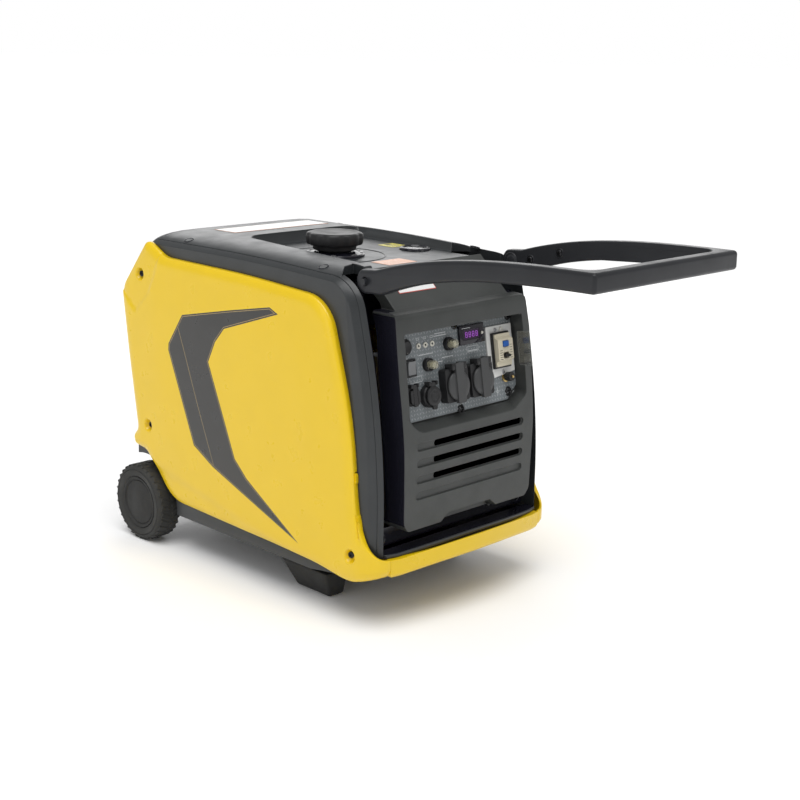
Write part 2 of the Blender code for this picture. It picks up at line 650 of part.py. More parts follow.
# --- fuel system --------------------------------------------------------------------------------
def fuel_tank():
    tank = box("fuel_tank", (-0.120, 0.130, 0.4250), (0.120, 0.350, 0.5120), BLACK, 0.010, 1)
    join(tank, rod("neck", (CAP_X, CAP_BACK, 0.5265), (0, 0, 1), 0.0240, 0.0370, BLACK, 24))
    cut(tank, box("tank_inside", (-0.117, 0.133, 0.4280), (0.117, 0.347, 0.5090), BLACK, 0.008, 1))
    cut(tank, rod("neck_bore", (CAP_X, CAP_BACK, 0.5265), (0, 0, 1), 0.0210, 0.0500, BLACK, 24))


def cap_rim(a, b):
    """Chooses the upper rim of the fuel cap."""
    return min(a.z, b.z) > CAP_TOP - 0.001


def fuel_cap():
    lobes = 8
    points = 48
    outline = []
    for i in range(points):
        angle = 2 * math.pi * i / points
        radius = CAP_RADIUS - 0.0022 * (1 - abs(math.cos(lobes * angle / 2)) ** 0.6)
        outline.append((CAP_X + radius * math.cos(angle), CAP_BACK + radius * math.sin(angle)))
    cap = slab("fuel_cap", outline, "top", CAP_UP, CAP_TOP, SWITCH_BLACK, 0.0030, rim=cap_rim, segments=1)
    cut(cap, rod("cap_hollow", (CAP_X, CAP_BACK, 0.5410), (0, 0, 1), 0.0260, 0.0160, SWITCH_BLACK, 24))
    put_origin(cap, place(CAP_X, CAP_BACK, CAP_UP))
    plug = turned("fuel_cap_plug", [(0.0, 0.0), (0.0180, 0.0), (0.0200, 0.004), (0.0200, 0.0266),
                                    (0.0, 0.0266)][::-1], (CAP_X, CAP_BACK, 0.5218), (0, 0, 1), RUBBER, 20)
    put_origin(plug, place(CAP_X, CAP_BACK, 0.5218))


def fuel_gauge():
    turned("fuel_gauge", [(0.0, -0.0050), (0.0222, -0.0050), (0.0222, 0.0004), (0.0262, 0.0004),
                          (0.0255, 0.0032), (0.0215, 0.0040), (0.0, 0.0034)][::-1],
           (GAUGE_X, GAUGE_BACK, TRAY_FLOOR), (0, 0, 1), SWITCH_BLACK, 24)


# --- engine and alternator ----------------------------------------------------------------------
def engine():
    case = box("crankcase", (-0.060, 0.290, 0.0990), (0.070, 0.428, 0.282), ALUMINIUM, 0.014, 2)
    cut(case, rod("crank_bore", (0, CRANK_BACK, CRANK_UP), (1, 0, 0), 0.0125, 0.3, ALUMINIUM, 20))
    join(case, box("engine_foot", (-0.045, 0.300, 0.0480), (0.055, 0.420, 0.110), ALUMINIUM))
    comb = [(0.4284, 0.160)]
    for fin in range(6):
        start = 0.434 + fin * 0.016
        comb += [(start, 0.160), (start, 0.145), (start + 0.006, 0.145), (start + 0.006, 0.160)]
    comb += [(0.560, 0.160), (0.560, 0.250)]
    for fin in reversed(range(6)):
        start = 0.434 + fin * 0.016
        comb += [(start + 0.006, 0.250), (start + 0.006, 0.265), (start, 0.265), (start, 0.250)]
    comb += [(0.4284, 0.250)]
    slab("cylinder_block", comb, "side", -0.045, 0.050, ALUMINIUM)
    turned("spark_plug", [(0, 0), (0.0060, 0), (0.0060, 0.016), (0.0100, 0.016), (0.0100, 0.022),
                          (0.0065, 0.024), (0.0050, 0.050), (0.0, 0.050)][::-1], (0.0, 0.5660, 0.205),
           (0, 0.62, 0.78), STEEL, 12)
    box("carburettor", (0.0510, 0.455, 0.180), (0.090, 0.505, 0.235), ALUMINIUM, 0.005)
    box("air_filter_box", (0.060, 0.440, 0.270), (0.160, 0.590, 0.400), SWITCH_BLACK, 0.012, 2)
    box("muffler", (-0.150, 0.445, 0.280), (-0.045, 0.585, 0.400), STEEL, 0.018, 2)
    turned("exhaust_outlet", [(0.0150, 0.0), (0.0150, 0.044), (0.0185, 0.046), (0.0215, 0.044),
                              (0.0215, 0.0)][::-1], (-0.095, 0.5856, 0.330), (0, 1, 0), STEEL, 24)


def alternator():
    centre = (0, CRANK_BACK, CRANK_UP)
    shaft = rod("crankshaft", (0.003, CRANK_BACK, CRANK_UP), (1, 0, 0), 0.0110, 0.270, STEEL, 16, 0.001)
    put_origin(shaft, place(*centre))
    rotor = turned("alternator_rotor", [(0.0116, 0), (0.0116, 0.040), (0.058, 0.040), (0.058, 0.0)][::-1],
                   (-0.122, CRANK_BACK, CRANK_UP), (1, 0, 0), STEEL, 32)
    put_origin(rotor, place(-0.122, CRANK_BACK, CRANK_UP))
    turned("alternator_stator", [(0.0605, 0), (0.0605, 0.050), (0.084, 0.050), (0.084, 0.0)][::-1],
           (-0.127, CRANK_BACK, CRANK_UP), (1, 0, 0), COPPER, 32)


def recoil_starter():
    cup = [(0.0, 0.0300), (0.0, 0.0330), (0.0800, 0.0330), (0.0830, 0.0300), (0.0830, 0.0), (0.0800, 0.0),
           (0.0800, 0.0300)]
    turned("recoil_housing", cup[::-1], (0.1452, CRANK_BACK, CRANK_UP), (1, 0, 0), SWITCH_BLACK, 28)
    drum = [(0.0, 0.0), (0.0500, 0.0), (0.0500, 0.003), (0.0440, 0.004), (0.0440, 0.010), (0.0500, 0.011),
            (0.0500, 0.014), (0.0, 0.014)]
    reel = turned("recoil_reel", drum[::-1], (0.1500, CRANK_BACK, CRANK_UP), (1, 0, 0), BEIGE, 24)
    put_origin(reel, place(0.1500, CRANK_BACK, CRANK_UP))
    grip = box("recoil_grip", (0.1890, 0.315, 0.2290), (0.2050, 0.405, 0.2510), SWITCH_BLACK, 0.005, 2)
    put_origin(grip, place(0.1890, CRANK_BACK, 0.2400))


def electrics():
    box("inverter_module", (-0.120, 0.062, 0.160), (0.120, 0.104, 0.400), ALUMINIUM, 0.004)
    floor = GROUND_CLEARANCE + WALL + GAP
    box("battery", (-0.150, 0.112, floor), (-0.062, 0.200, 0.160), SWITCH_BLACK, 0.004)


# --- control plate ------------------------------------------------------------------------------
def control_plate():
    frame = plate_frame()
    outline = rounded([(-PLATE_X, 0.012, 0), (-PLATE_X + 0.010, 0.0, 0), (0.108, 0.0, 0), (0.120, 0.012, 0),
                       (PLATE_X, 0.020, 0), (PLATE_X, PLATE_HEIGHT - 0.010, 0.0), (0.124, PLATE_HEIGHT, 0),
                       (-PLATE_X + 0.006, PLATE_HEIGHT, 0), (-PLATE_X, PLATE_HEIGHT - 0.006, 0)])
    plate = slab("control_plate", outline, "top", -0.0028, 0.0, PLATE, frame=frame)
    for number, (u, v) in enumerate(BREAKERS):
        cut(plate, rod("breaker_hole_" + str(number + 1), (u, v, 0), (0, 0, 1), 0.0074, 0.02, PLATE, 16,
                       frame=frame))
    cut(plate, rod("start_hole", (*START, 0), (0, 0, 1), 0.0104, 0.02, PLATE, 20, frame=frame))
    cut(plate, rod("car_socket_hole", (ROUND_U, ROUND_V, 0), (0, 0, 1), 0.0130, 0.02, PLATE, 20, frame=frame))


def push_buttons():
    frame = plate_frame()
    for number, (u, v) in enumerate(BREAKERS):
        button = rod("reset_breaker_" + str(number + 1), (u, v, 0.0060), (0, 0, 1), 0.0068, 0.0240, CLEAR, 14,
                     0.001, frame=frame)
        put_origin(button, frame @ Vector((u, v, 0)))
    start = rod("start_button", (*START, 0.0000), (0, 0, 1), 0.0098, 0.0120, SWITCH_BLACK, 18, 0.001,
                frame=frame)
    put_origin(start, frame @ Vector((*START, 0)))


def rocker():
    frame = plate_frame()
    work = box("eco_rocker", (-0.1085, 0.0700, 0.0016), (-0.0925, 0.0900, 0.0070), SWITCH_BLACK, 0.0010,
               frame=frame)
    put_origin(work, frame @ Vector((-0.1005, 0.0800, 0.0043)))


def indicator_lights():
    frame = plate_frame()
    box("indicator_lights", (-0.0860, 0.1040, GAP), (-0.0410, 0.1150, 0.0022), CLEAR, 0.0006, frame=frame)


def display():
    frame = plate_frame()
    box("display_module", (0.0085, 0.0985, GAP), (0.0645, 0.1280, 0.0045), SCREEN, 0.001, frame=frame)


def ac_sockets():
    frame = plate_frame()
    for number, u in enumerate(SOCKET_U):
        name = str(number + 1)
        base = box("ac_socket_" + name, (u - 0.0250, SOCKET_V - 0.0265, GAP),
                   (u + 0.0250, SOCKET_V + 0.0250, 0.0150), SWITCH_BLACK, 0.002, frame=frame)
        cut(base, rod("socket_well_" + name, (u, SOCKET_V - 0.002, 0.0150), (0, 0, 1), 0.0195, 0.0250,
                      SWITCH_BLACK, 20, frame=frame))
        lid = rod("ac_lid_" + name, (u, SOCKET_V - 0.002, 0.0182), (0, 0, 1), 0.0232, 0.0050, SWITCH_BLACK,
                  24, 0.001, frame=frame)
        join(lid, box("lid_rib_" + name, (u - 0.0085, SOCKET_V - 0.0290, 0.0165),
                      (u + 0.0085, SOCKET_V + HINGE_RISE + 0.004, 0.0230), SWITCH_BLACK, frame=frame))
        put_origin(lid, frame @ Vector((u, SOCKET_V + HINGE_RISE, LID_W)))


def low_voltage_sockets():
    frame = plate_frame()
    dc = box("dc_socket", (DC_U - 0.0110, DC_V - 0.0150, GAP), (DC_U + 0.0110, DC_V + 0.0130, 0.0080),
             SWITCH_BLACK, 0.001, frame=frame)
    cut(dc, box("dc_well", (DC_U - 0.0070, DC_V - 0.0110, 0.0015), (DC_U + 0.0070, DC_V + 0.0070, 0.020),
                SWITCH_BLACK, frame=frame))
    dc_lid = rod("dc_lid", (DC_U, DC_V - 0.002, 0.0102), (0, 0, 1), 0.0120, 0.0030, SWITCH_BLACK, 18, 0.0006,
                 frame=frame)
    join(dc_lid, box("dc_lid_lug", (DC_U - 0.0045, DC_V, 0.0088), (DC_U + 0.0045, DC_V + 0.0160, 0.0115),
                     SWITCH_BLACK, frame=frame))
    put_origin(dc_lid, frame @ Vector((DC_U, DC_V + 0.0145, 0.0102)))
    ring = [(0.0, -0.0270), (0.0105, -0.0270), (0.0105, 0.0100), (0.0165, 0.0100), (0.0175, 0.0080),
            (0.0175, 0.0), (0.0125, 0.0), (0.0125, -0.0290), (0.0, -0.0290)]
    turned("car_socket", ring, (ROUND_U, ROUND_V, GAP), (0, 0, 1), SWITCH_BLACK, 20, frame=frame)
    cap = rod("car_socket_lid", (ROUND_U, ROUND_V, 0.0135), (0, 0, 1), 0.0150, 0.0050, SWITCH_BLACK, 20,
              0.001, frame=frame)
    join(cap, box("car_lid_lug", (ROUND_U - 0.0050, ROUND_V, 0.0112),
                  (ROUND_U + 0.0050, ROUND_V + 0.0210, 0.0150), SWITCH_BLACK, frame=frame))
    put_origin(cap, frame @ Vector((ROUND_U, ROUND_V + 0.0190, 0.0131)))


def earth_leakage_switch():
    frame = plate_frame()
    body = box("rcd_module", (0.0700, 0.0480, GAP), (0.1290, 0.1180, 0.0040), BEIGE, 0.001, frame=frame)
    join(body, box("rcd_body", (*RCD_LOW, 0.0020), (*RCD_HIGH, RCD_FACE), BEIGE, frame=frame))
    windows = ((0.0975, 0.0900, 0.0130, 0.0100), (0.0975, 0.0720, 0.0130, 0.0090))
    for number, (u, v, w, h) in enumerate(windows):
        cut(body, box("rcd_window_" + str(number + 1), (u - w / 2, v - h / 2, RCD_POCKET),
                      (u + w / 2, v + h / 2, 0.0400), BEIGE, frame=frame))
    test = box("rcd_test_button", (0.0915, 0.0856, RCD_POCKET + 0.0022), (0.1035, 0.0944, RCD_FACE + 0.0022),
               BLUE, 0.0008, frame=frame)
    put_origin(test, frame @ Vector((0.0975, 0.0900, RCD_FACE)))
    toggle = box("rcd_toggle", (0.0920, 0.0690, RCD_POCKET + 0.0020), (0.1030, 0.0740, RCD_FACE + 0.0050),
                 SWITCH_BLACK, 0.0008, frame=frame)
    put_origin(toggle, frame @ Vector((0.0975, 0.0715, RCD_POCKET + 0.0040)))
    hinge = Vector((RCD_HIGH[0] + 0.0016, 0.0, COVER_W + 0.0008))
    edge = RCD_HIGH[0] + 0.0010
    cover = box("rcd_cover", (edge - COVER_WIDTH, 0.0540, COVER_W), (edge, 0.1070, COVER_W + 0.0016), CLEAR,
                frame=frame)
    swing = frame @ Matrix.Translation(hinge) @ Matrix.Rotation(COVER_OPEN, 4, "Y")
    cover.data.transform(swing @ Matrix.Translation(-hinge) @ frame.inverted())
    put_origin(cover, frame @ Vector((hinge.x, 0.0800, hinge.z)))


def ground_terminal():
    frame = plate_frame()
    points = 24
    outline = []
    for i in range(points):
        angle = 2 * math.pi * i / points
        radius = 0.0075 - 0.0008 * (1 - abs(math.cos(3 * angle)))
        outline.append((0.1080 + radius * math.cos(angle), 0.0365 + radius * math.sin(angle)))
    knob = slab("ground_knob", outline, "top", GAP, 0.0160, SWITCH_BLACK, frame=frame)
    put_origin(knob, frame @ Vector((0.1080, 0.0365, 0.0)))


def main():
    base_pan()
    front_feet()
    side_frames()
    side_covers()
    front_bumper()
    front_frame()
    handle_channel()
    front_panel()
    rear_cover()
    top_cover()
    handle_bar()
    handle_pins()
    wheels()
    fuel_tank()
    fuel_cap()
    fuel_gauge()
    engine()
    alternator()
    recoil_starter()
    electrics()
    control_plate()
    push_buttons()
    rocker()
    indicator_lights()
    display()
    ac_sockets()
    low_voltage_sockets()
    earth_leakage_switch()
    ground_terminal()


main()
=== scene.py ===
"""The looks of an inverter generator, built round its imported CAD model.

Metres, in the CAD's frame: +X to the right of someone who faces the control panel, +Y towards the wheels,
+Z up. Places are written as (x, back, up), where back is measured from the foot of the front panel.
"""
import json
import math

import bmesh
import bpy
import numpy as np
from mathutils import Matrix, Vector, geometry


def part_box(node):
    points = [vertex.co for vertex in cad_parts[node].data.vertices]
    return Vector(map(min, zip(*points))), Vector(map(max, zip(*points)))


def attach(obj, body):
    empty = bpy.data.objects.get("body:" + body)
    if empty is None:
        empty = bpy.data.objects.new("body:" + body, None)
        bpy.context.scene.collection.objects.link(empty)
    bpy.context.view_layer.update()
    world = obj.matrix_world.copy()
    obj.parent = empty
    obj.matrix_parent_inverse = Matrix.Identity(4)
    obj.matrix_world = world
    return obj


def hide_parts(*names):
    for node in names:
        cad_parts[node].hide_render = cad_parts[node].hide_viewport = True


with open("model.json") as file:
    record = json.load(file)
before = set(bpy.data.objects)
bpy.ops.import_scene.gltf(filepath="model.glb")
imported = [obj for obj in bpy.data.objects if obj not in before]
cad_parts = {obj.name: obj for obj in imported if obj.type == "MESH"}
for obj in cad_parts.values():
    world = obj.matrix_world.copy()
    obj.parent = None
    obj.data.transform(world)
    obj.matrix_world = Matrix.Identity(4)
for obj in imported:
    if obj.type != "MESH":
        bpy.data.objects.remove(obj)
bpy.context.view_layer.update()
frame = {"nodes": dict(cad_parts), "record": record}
NODES = frame["nodes"]
for plain in list(bpy.data.materials):
    bpy.data.materials.remove(plain)
bpy.context.scene.view_settings.view_transform = "Standard"

# --- places read from the frame -------------------------------------------------------------------
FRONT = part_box("control_plate")[0].y - 0.0205
COVER_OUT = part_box("side_cover_right")[1].x
FRAME_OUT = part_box("side_frame_right")[1].x
SHELL_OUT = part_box("top_cover")[1].x
SIDES = (("left", -1), ("right", 1))

CAMERA_PLACE = (-1.5693, -1.5463, 0.8600)
CAMERA_YAW = math.radians(45.403)
CAMERA_PITCH = math.radians(14.339)
CAMERA_ROLL = math.radians(-1.193)
LENS = 64.35
SENSOR = 36.0
ROOM_LIGHT = 0.44
SUN_POWER = 2.0


def add_object(name, data):
    thing = bpy.data.objects.new(name, data)
    bpy.context.scene.collection.objects.link(thing)
    return thing


# --- camera, light and floor ----------------------------------------------------------------------
def make_camera():
    data = bpy.data.cameras.new("camera")
    data.lens = LENS
    data.sensor_width = SENSOR
    data.clip_end = 50
    camera = add_object("camera", data)
    ahead = Vector((math.sin(CAMERA_YAW) * math.cos(CAMERA_PITCH),
                    math.cos(CAMERA_YAW) * math.cos(CAMERA_PITCH), -math.sin(CAMERA_PITCH)))
    right = Vector((math.cos(CAMERA_YAW), -math.sin(CAMERA_YAW), 0))
    down = ahead.cross(right)
    turned_right = right * math.cos(CAMERA_ROLL) + down * math.sin(CAMERA_ROLL)
    turned_down = down * math.cos(CAMERA_ROLL) - right * math.sin(CAMERA_ROLL)
    turn = Matrix((turned_right, -turned_down, -ahead)).transposed().to_4x4()
    camera.matrix_world = Matrix.Translation(CAMERA_PLACE) @ turn
    bpy.context.scene.camera = camera


def area_light(name, place, target, size, power, colour=(1, 1, 1)):
    data = bpy.data.lights.new(name, "AREA")
    data.shape = "RECTANGLE"
    data.size, data.size_y = size
    data.energy = power
    data.color = colour
    light = add_object(name, data)
    light.location = place
    light.rotation_mode = "QUATERNION"
    light.rotation_quaternion = (Vector(target) - Vector(place)).to_track_quat("-Z", "Y")


def make_studio():
    world = bpy.data.worlds.new("studio")
    world.use_nodes = True
    tree = world.node_tree
    tree.nodes["Background"].inputs["Color"].default_value = (1.0, 1.0, 1.0, 1.0)
    tree.nodes["Background"].inputs["Strength"].default_value = ROOM_LIGHT
    backdrop = tree.nodes.new("ShaderNodeBackground")
    backdrop.inputs["Color"].default_value = (1.0, 1.0, 1.0, 1.0)
    mix = tree.nodes.new("ShaderNodeMixShader")
    tree.links.new(tree.nodes.new("ShaderNodeLightPath").outputs["Is Camera Ray"], mix.inputs["Fac"])
    tree.links.new(tree.nodes["Background"].outputs["Background"], mix.inputs[1])
    tree.links.new(backdrop.outputs["Background"], mix.inputs[2])
    tree.links.new(mix.outputs["Shader"], tree.nodes["World Output"].inputs["Surface"])
    bpy.context.scene.world = world
    sun_data = bpy.data.lights.new("soft_sun", "SUN")
    sun_data.energy = SUN_POWER
    sun_data.angle = math.radians(50)
    sun = add_object("soft_sun", sun_data)
    sun.rotation_mode = "QUATERNION"
    sun.rotation_quaternion = Vector((0.22, 0.22, -1.0)).to_track_quat("-Z", "Y")
    area_light("left_softbox", (-2.6, 0.2, 1.3), (0, 0, 0.3), (1.2, 2.2), 7)
    area_light("front_softbox", (0.6, -2.8, 1.8), (0, 0, 0.3), (1.0, 1.8), 6)
    area_light("back_softbox", (2.1, 2.1, 1.4), (0, 0, 0.5), (2.6, 1.4), 16)
    work = bmesh.new()
    bmesh.ops.create_grid(work, x_segments=1, y_segments=1, size=60.0)
    mesh = bpy.data.meshes.new("floor")
    work.to_mesh(mesh)
    work.free()
    mat, _ = new_material("floor_paper", (1.0, 1.0, 1.0), 0.9)
    mesh.materials.append(mat)
    add_object("floor", mesh)


# --- materials --------------------------------------------------------------------------------------
def new_material(name, colour, roughness, metallic=0.0, **sockets):
    mat = bpy.data.materials.new(name)
    mat.use_nodes = True
    shader = mat.node_tree.nodes["Principled BSDF"]
    shader.inputs["Base Color"].default_value = (*colour, 1.0)
    shader.inputs["Roughness"].default_value = roughness
    shader.inputs["Metallic"].default_value = metallic
    for socket, value in sockets.items():
        shader.inputs[socket.replace("_", " ")].default_value = value
    return mat, shader


def add_node(mat, kind, **values):
    node = mat.node_tree.nodes.new(kind)
    for key, value in values.items():
        if key in node.inputs:
            node.inputs[key].default_value = value
        else:
            setattr(node, key, value)
    return node


def noise_field(mat, scale, detail=2.0, roughness=0.5, stretch=(1, 1, 1)):
    coords = add_node(mat, "ShaderNodeTexCoord")
    mapping = add_node(mat, "ShaderNodeMapping")
    mapping.inputs["Scale"].default_value = stretch
    field = add_node(mat, "ShaderNodeTexNoise", Scale=scale, Detail=detail, Roughness=roughness)
    mat.node_tree.links.new(coords.outputs["Object"], mapping.inputs["Vector"])
    mat.node_tree.links.new(mapping.outputs["Vector"], field.inputs["Vector"])
    return field.outputs["Fac"]


def spread(mat, value, low, high):
    """A 0 to 1 value stretched to run from low to high, read between 0.3 and 0.7 where noise lives."""
    step = add_node(mat, "ShaderNodeMapRange")
    step.inputs["From Min"].default_value = 0.3
    step.inputs["From Max"].default_value = 0.7
    step.inputs["To Min"].default_value = low
    step.inputs["To Max"].default_value = high
    mat.node_tree.links.new(value, step.inputs["Value"])
    return step.outputs["Result"]


def mottle(mat, shader, colour, amount, scale):
    """Slight lighter and darker clouds in a colour."""
    mix = add_node(mat, "ShaderNodeMix", data_type="RGBA")
    dark = [c * (1 - amount) for c in colour]
    light = [min(c * (1 + amount), 1.0) for c in colour]
    for socket in mix.inputs:
        if socket.name == "A" and socket.type == "RGBA":
            socket.default_value = (*dark, 1.0)
        if socket.name == "B" and socket.type == "RGBA":
            socket.default_value = (*light, 1.0)
    mat.node_tree.links.new(spread(mat, noise_field(mat, scale, 3.0), 0, 1), mix.inputs["Factor"])
    result = [socket for socket in mix.outputs if socket.type == "RGBA"][0]
    mat.node_tree.links.new(result, shader.inputs["Base Color"])
    return result


def vary_roughness(mat, shader, low, high, scale):
    field = spread(mat, noise_field(mat, scale, 4.0), low, high)
    mat.node_tree.links.new(field, shader.inputs["Roughness"])


def bump(mat, shader, *layers):
    """Surface relief from (height output, depth in metres) layers, one on top of the other."""
    previous = None
    for height, depth in layers:
        step = add_node(mat, "ShaderNodeBump", Strength=1.0, Distance=depth)
        mat.node_tree.links.new(height, step.inputs["Height"])
        if previous:
            mat.node_tree.links.new(previous, step.inputs["Normal"])
        previous = step.outputs["Normal"]
    mat.node_tree.links.new(previous, shader.inputs["Normal"])


def moulded_plastic(name, colour, roughness, grain=0.00006, grain_scale=1500, clouds=0.10, **sockets):
    """Plastic with the fine sparked texture of its mould, uneven gloss and faint clouds of colour."""
    mat, shader = new_material(name, colour, roughness, **sockets)
    mottle(mat, shader, colour, clouds, 22)
    vary_roughness(mat, shader, roughness * 0.88, roughness * 1.15, 35)
    bump(mat, shader, (noise_field(mat, grain_scale, 2.0), grain), (noise_field(mat, 60, 2.0), grain * 3))
    return mat


def cast_metal(name, colour, roughness, grain=0.00025, stretch=(1, 1, 1), scale=500):
    mat, shader = new_material(name, colour, roughness, 1.0)
    mottle(mat, shader, colour, 0.12, 45)
    vary_roughness(mat, shader, roughness * 0.8, roughness * 1.25, 90)
    bump(mat, shader, (noise_field(mat, scale, 3.0, 0.6, stretch), grain))
    return mat


YELLOW = moulded_plastic("yellow_shell", (0.800, 0.540, 0.003), 0.30, 0.00003, 900, 0.012, Coat_Weight=0.10,
                         Coat_Roughness=0.12)
GREY = moulded_plastic("grey_shell", (0.025, 0.028, 0.030), 0.34, 0.00004)
PANEL_GREY = moulded_plastic("panel_grey", (0.040, 0.043, 0.041), 0.46, 0.00006)
BLACK = moulded_plastic("black_gloss", (0.010, 0.010, 0.016), 0.18, 0.00001, 900)
SWITCH_BLACK = moulded_plastic("switch_black", (0.017, 0.017, 0.018), 0.40, 0.00003,
                               Specular_IOR_Level=0.35)
PLATE = moulded_plastic("control_plate", (0.17, 0.19, 0.20), 0.40, 0.00002)
SCREEN = moulded_plastic("display_glass", (0.012, 0.010, 0.016), 0.10, 0.000005)
BEIGE = moulded_plastic("beige_switchgear", (0.62, 0.57, 0.44), 0.38, 0.00003, 1500, 0.04)
BLUE = moulded_plastic("blue_button", (0.02, 0.11, 0.42), 0.30, 0.00002)
RUBBER = moulded_plastic("rubber", (0.022, 0.022, 0.021), 0.75, 0.00012, 700)
TYRE = moulded_plastic("tyre", (0.028, 0.028, 0.026), 0.72, 0.00015, 600)
ALUMINIUM = cast_metal("cast_aluminium", (0.46, 0.46, 0.46), 0.45)
STEEL = cast_metal("steel", (0.40, 0.40, 0.41), 0.32, 0.00008, (1, 1, 12), 300)
COPPER = cast_metal("copper_windings", (0.50, 0.20, 0.07), 0.35, 0.0005, (30, 1, 1), 60)
CLEAR, _ = new_material("clear_plastic", (0.80, 0.78, 0.66), 0.12, Transmission_Weight=0.85, IOR=1.46)
HANDLE_GREY = moulded_plastic("handle_grey", (0.018, 0.019, 0.022), 0.36, 0.00003,
                              Specular_IOR_Level=0.32)
SWITCH_GREY = moulded_plastic("switch_grey", (0.040, 0.041, 0.042), 0.42, 0.00003)
ROCKER_GREY = moulded_plastic("rocker_grey", (0.16, 0.165, 0.17), 0.40, 0.00002)
IVORY = moulded_plastic("ivory_plastic", (0.72, 0.70, 0.62), 0.32, 0.00002, 1500, 0.03)
PLATE_WHITE = moulded_plastic("plate_white", (0.68, 0.68, 0.66), 0.38, 0.00002, 1500, 0.03)
PLATE_LIGHT = moulded_plastic("plate_light", (0.33, 0.35, 0.36), 0.38, 0.00002)
MARK_WHITE = moulded_plastic("mark_white", (0.62, 0.64, 0.65), 0.45, 0.00001)
LABEL_WHITE = moulded_plastic("label_white", (0.80, 0.80, 0.79), 0.30, 0.00001, 900, 0.02)
LABEL_YELLOW = moulded_plastic("label_yellow", (0.70, 0.62, 0.10), 0.30, 0.00001, 900, 0.02)
LABEL_ORANGE = moulded_plastic("label_orange", (0.62, 0.27, 0.13), 0.30, 0.00001, 900, 0.02)
LABEL_RED = moulded_plastic("label_red", (0.55, 0.10, 0.08), 0.30, 0.00001, 900, 0.02)
WINDOW_PURPLE = moulded_plastic("window_purple", (0.030, 0.010, 0.040), 0.12, 0.000004)
GLOW_PURPLE, _ = new_material("glow_purple", (0.30, 0.08, 0.42), 0.3, Emission_Color=(0.30, 0.05, 0.50, 1.0),
                              Emission_Strength=0.7)
BRASS = cast_metal("brass", (0.62, 0.45, 0.18), 0.28, 0.00004)
SMOKY, _ = new_material("smoky_plastic", (0.42, 0.43, 0.42), 0.10, Transmission_Weight=0.9, IOR=1.45)
SMOKY_EDGE, _ = new_material("smoky_edge", (0.30, 0.31, 0.30), 0.16, Transmission_Weight=0.6, IOR=1.45)
DECAL_GREY = moulded_plastic("decal_grey", (0.032, 0.031, 0.029), 0.30, 0.00001, 900, 0.05)
PINSTRIPE = moulded_plastic("pinstripe_tan", (0.42, 0.30, 0.12), 0.30, 0.00001, 900, 0.05)
BOLT_BLACK = cast_metal("bolt_black", (0.035, 0.035, 0.037), 0.35, 0.00005)
MATERIALS = {mat.name: mat for mat in (
    YELLOW, GREY, PANEL_GREY, BLACK, SWITCH_BLACK, PLATE, SCREEN, BEIGE, BLUE, RUBBER, TYRE, ALUMINIUM, STEEL,
    COPPER, CLEAR)}


# --- mesh tools ---------------------------------------------------------------------------------------
HOME = Matrix.Translation((0, FRONT, 0))     # turns (x, back, up) into a place in the object's frame


def place(x, back, up):
    return Vector((x, FRONT + back, up))


def show(name, mesh, mat, body="chassis", replaces=(), soften=0.0, segments=3, angle=32):
    """Link a mesh in the object's frame, shaded smooth with rounded edges, riding on a body."""
    mesh.name = name
    finishes = mat if isinstance(mat, list) else [mat]
    numbers = [polygon.material_index for polygon in mesh.polygons]
    mesh.materials.clear()
    for finish in finishes:
        mesh.materials.append(finish)
    if len(finishes) > 1:
        mesh.polygons.foreach_set("material_index", numbers)
    mesh.shade_smooth()
    mesh.set_sharp_from_angle(angle=math.radians(angle))
    thing = add_object(name, mesh)
    if soften:
        bevel = thing.modifiers.new("soften", "BEVEL")
        bevel.width = soften
        bevel.segments = segments
        bevel.limit_method = "ANGLE"
        bevel.angle_limit = math.radians(angle)
        bevel.harden_normals = True
        bevel.use_clamp_overlap = False
    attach(thing, body)
    if replaces:
        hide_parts(*replaces)
    return thing


def finished(work):
    """The mesh that was worked on, as it stands."""
    mesh = bpy.data.meshes.new("work")
    work.to_mesh(mesh)
    work.free()
    return mesh


def to_mesh(work):
    """The mesh that was worked on, with its faces turned outwards."""
    bmesh.ops.recalc_face_normals(work, faces=work.faces)
    if work.calc_volume(signed=True) < 0:
        bmesh.ops.reverse_faces(work, faces=work.faces)
    return finished(work)


def bevel_edges(work, chosen, width, segments):
    bmesh.ops.bevel(work, geom=chosen, offset=width, segments=segments, affect="EDGES", profile=0.5,
                    clamp_overlap=True)


def box(low, high, bevel=0.0, segments=3, turn=HOME):
    """A box between two (x, back, up) corners, or between two corners in another frame."""
    work = bmesh.new()
    low, high = Vector(low), Vector(high)
    middle = (low + high) / 2
    bmesh.ops.create_cube(work, size=1.0, matrix=Matrix.Diagonal((*(high - low), 1.0)))
    if bevel:
        bevel_edges(work, list(work.edges), bevel, segments)
    work.transform(turn @ Matrix.Translation(middle))
    return to_mesh(work)


def turn_to(axis):
    return Vector((0, 0, 1)).rotation_difference(Vector(axis)).to_matrix().to_4x4()


def rod(centre, axis, radius, length, sides=32, bevel=0.0, segments=2, turn=HOME):
    """A cylinder along an axis and centred on a point."""
    work = bmesh.new()
    bmesh.ops.create_cone(work, cap_ends=True, segments=sides, radius1=radius,
                          radius2=radius, depth=length)
    if bevel:
        rims = [edge for edge in work.edges if abs(edge.verts[0].co.z - edge.verts[1].co.z) < 1e-7]
        bevel_edges(work, rims, bevel, segments)
    work.transform(turn @ Matrix.Translation(Vector(centre)) @ turn_to(axis))
    return to_mesh(work)


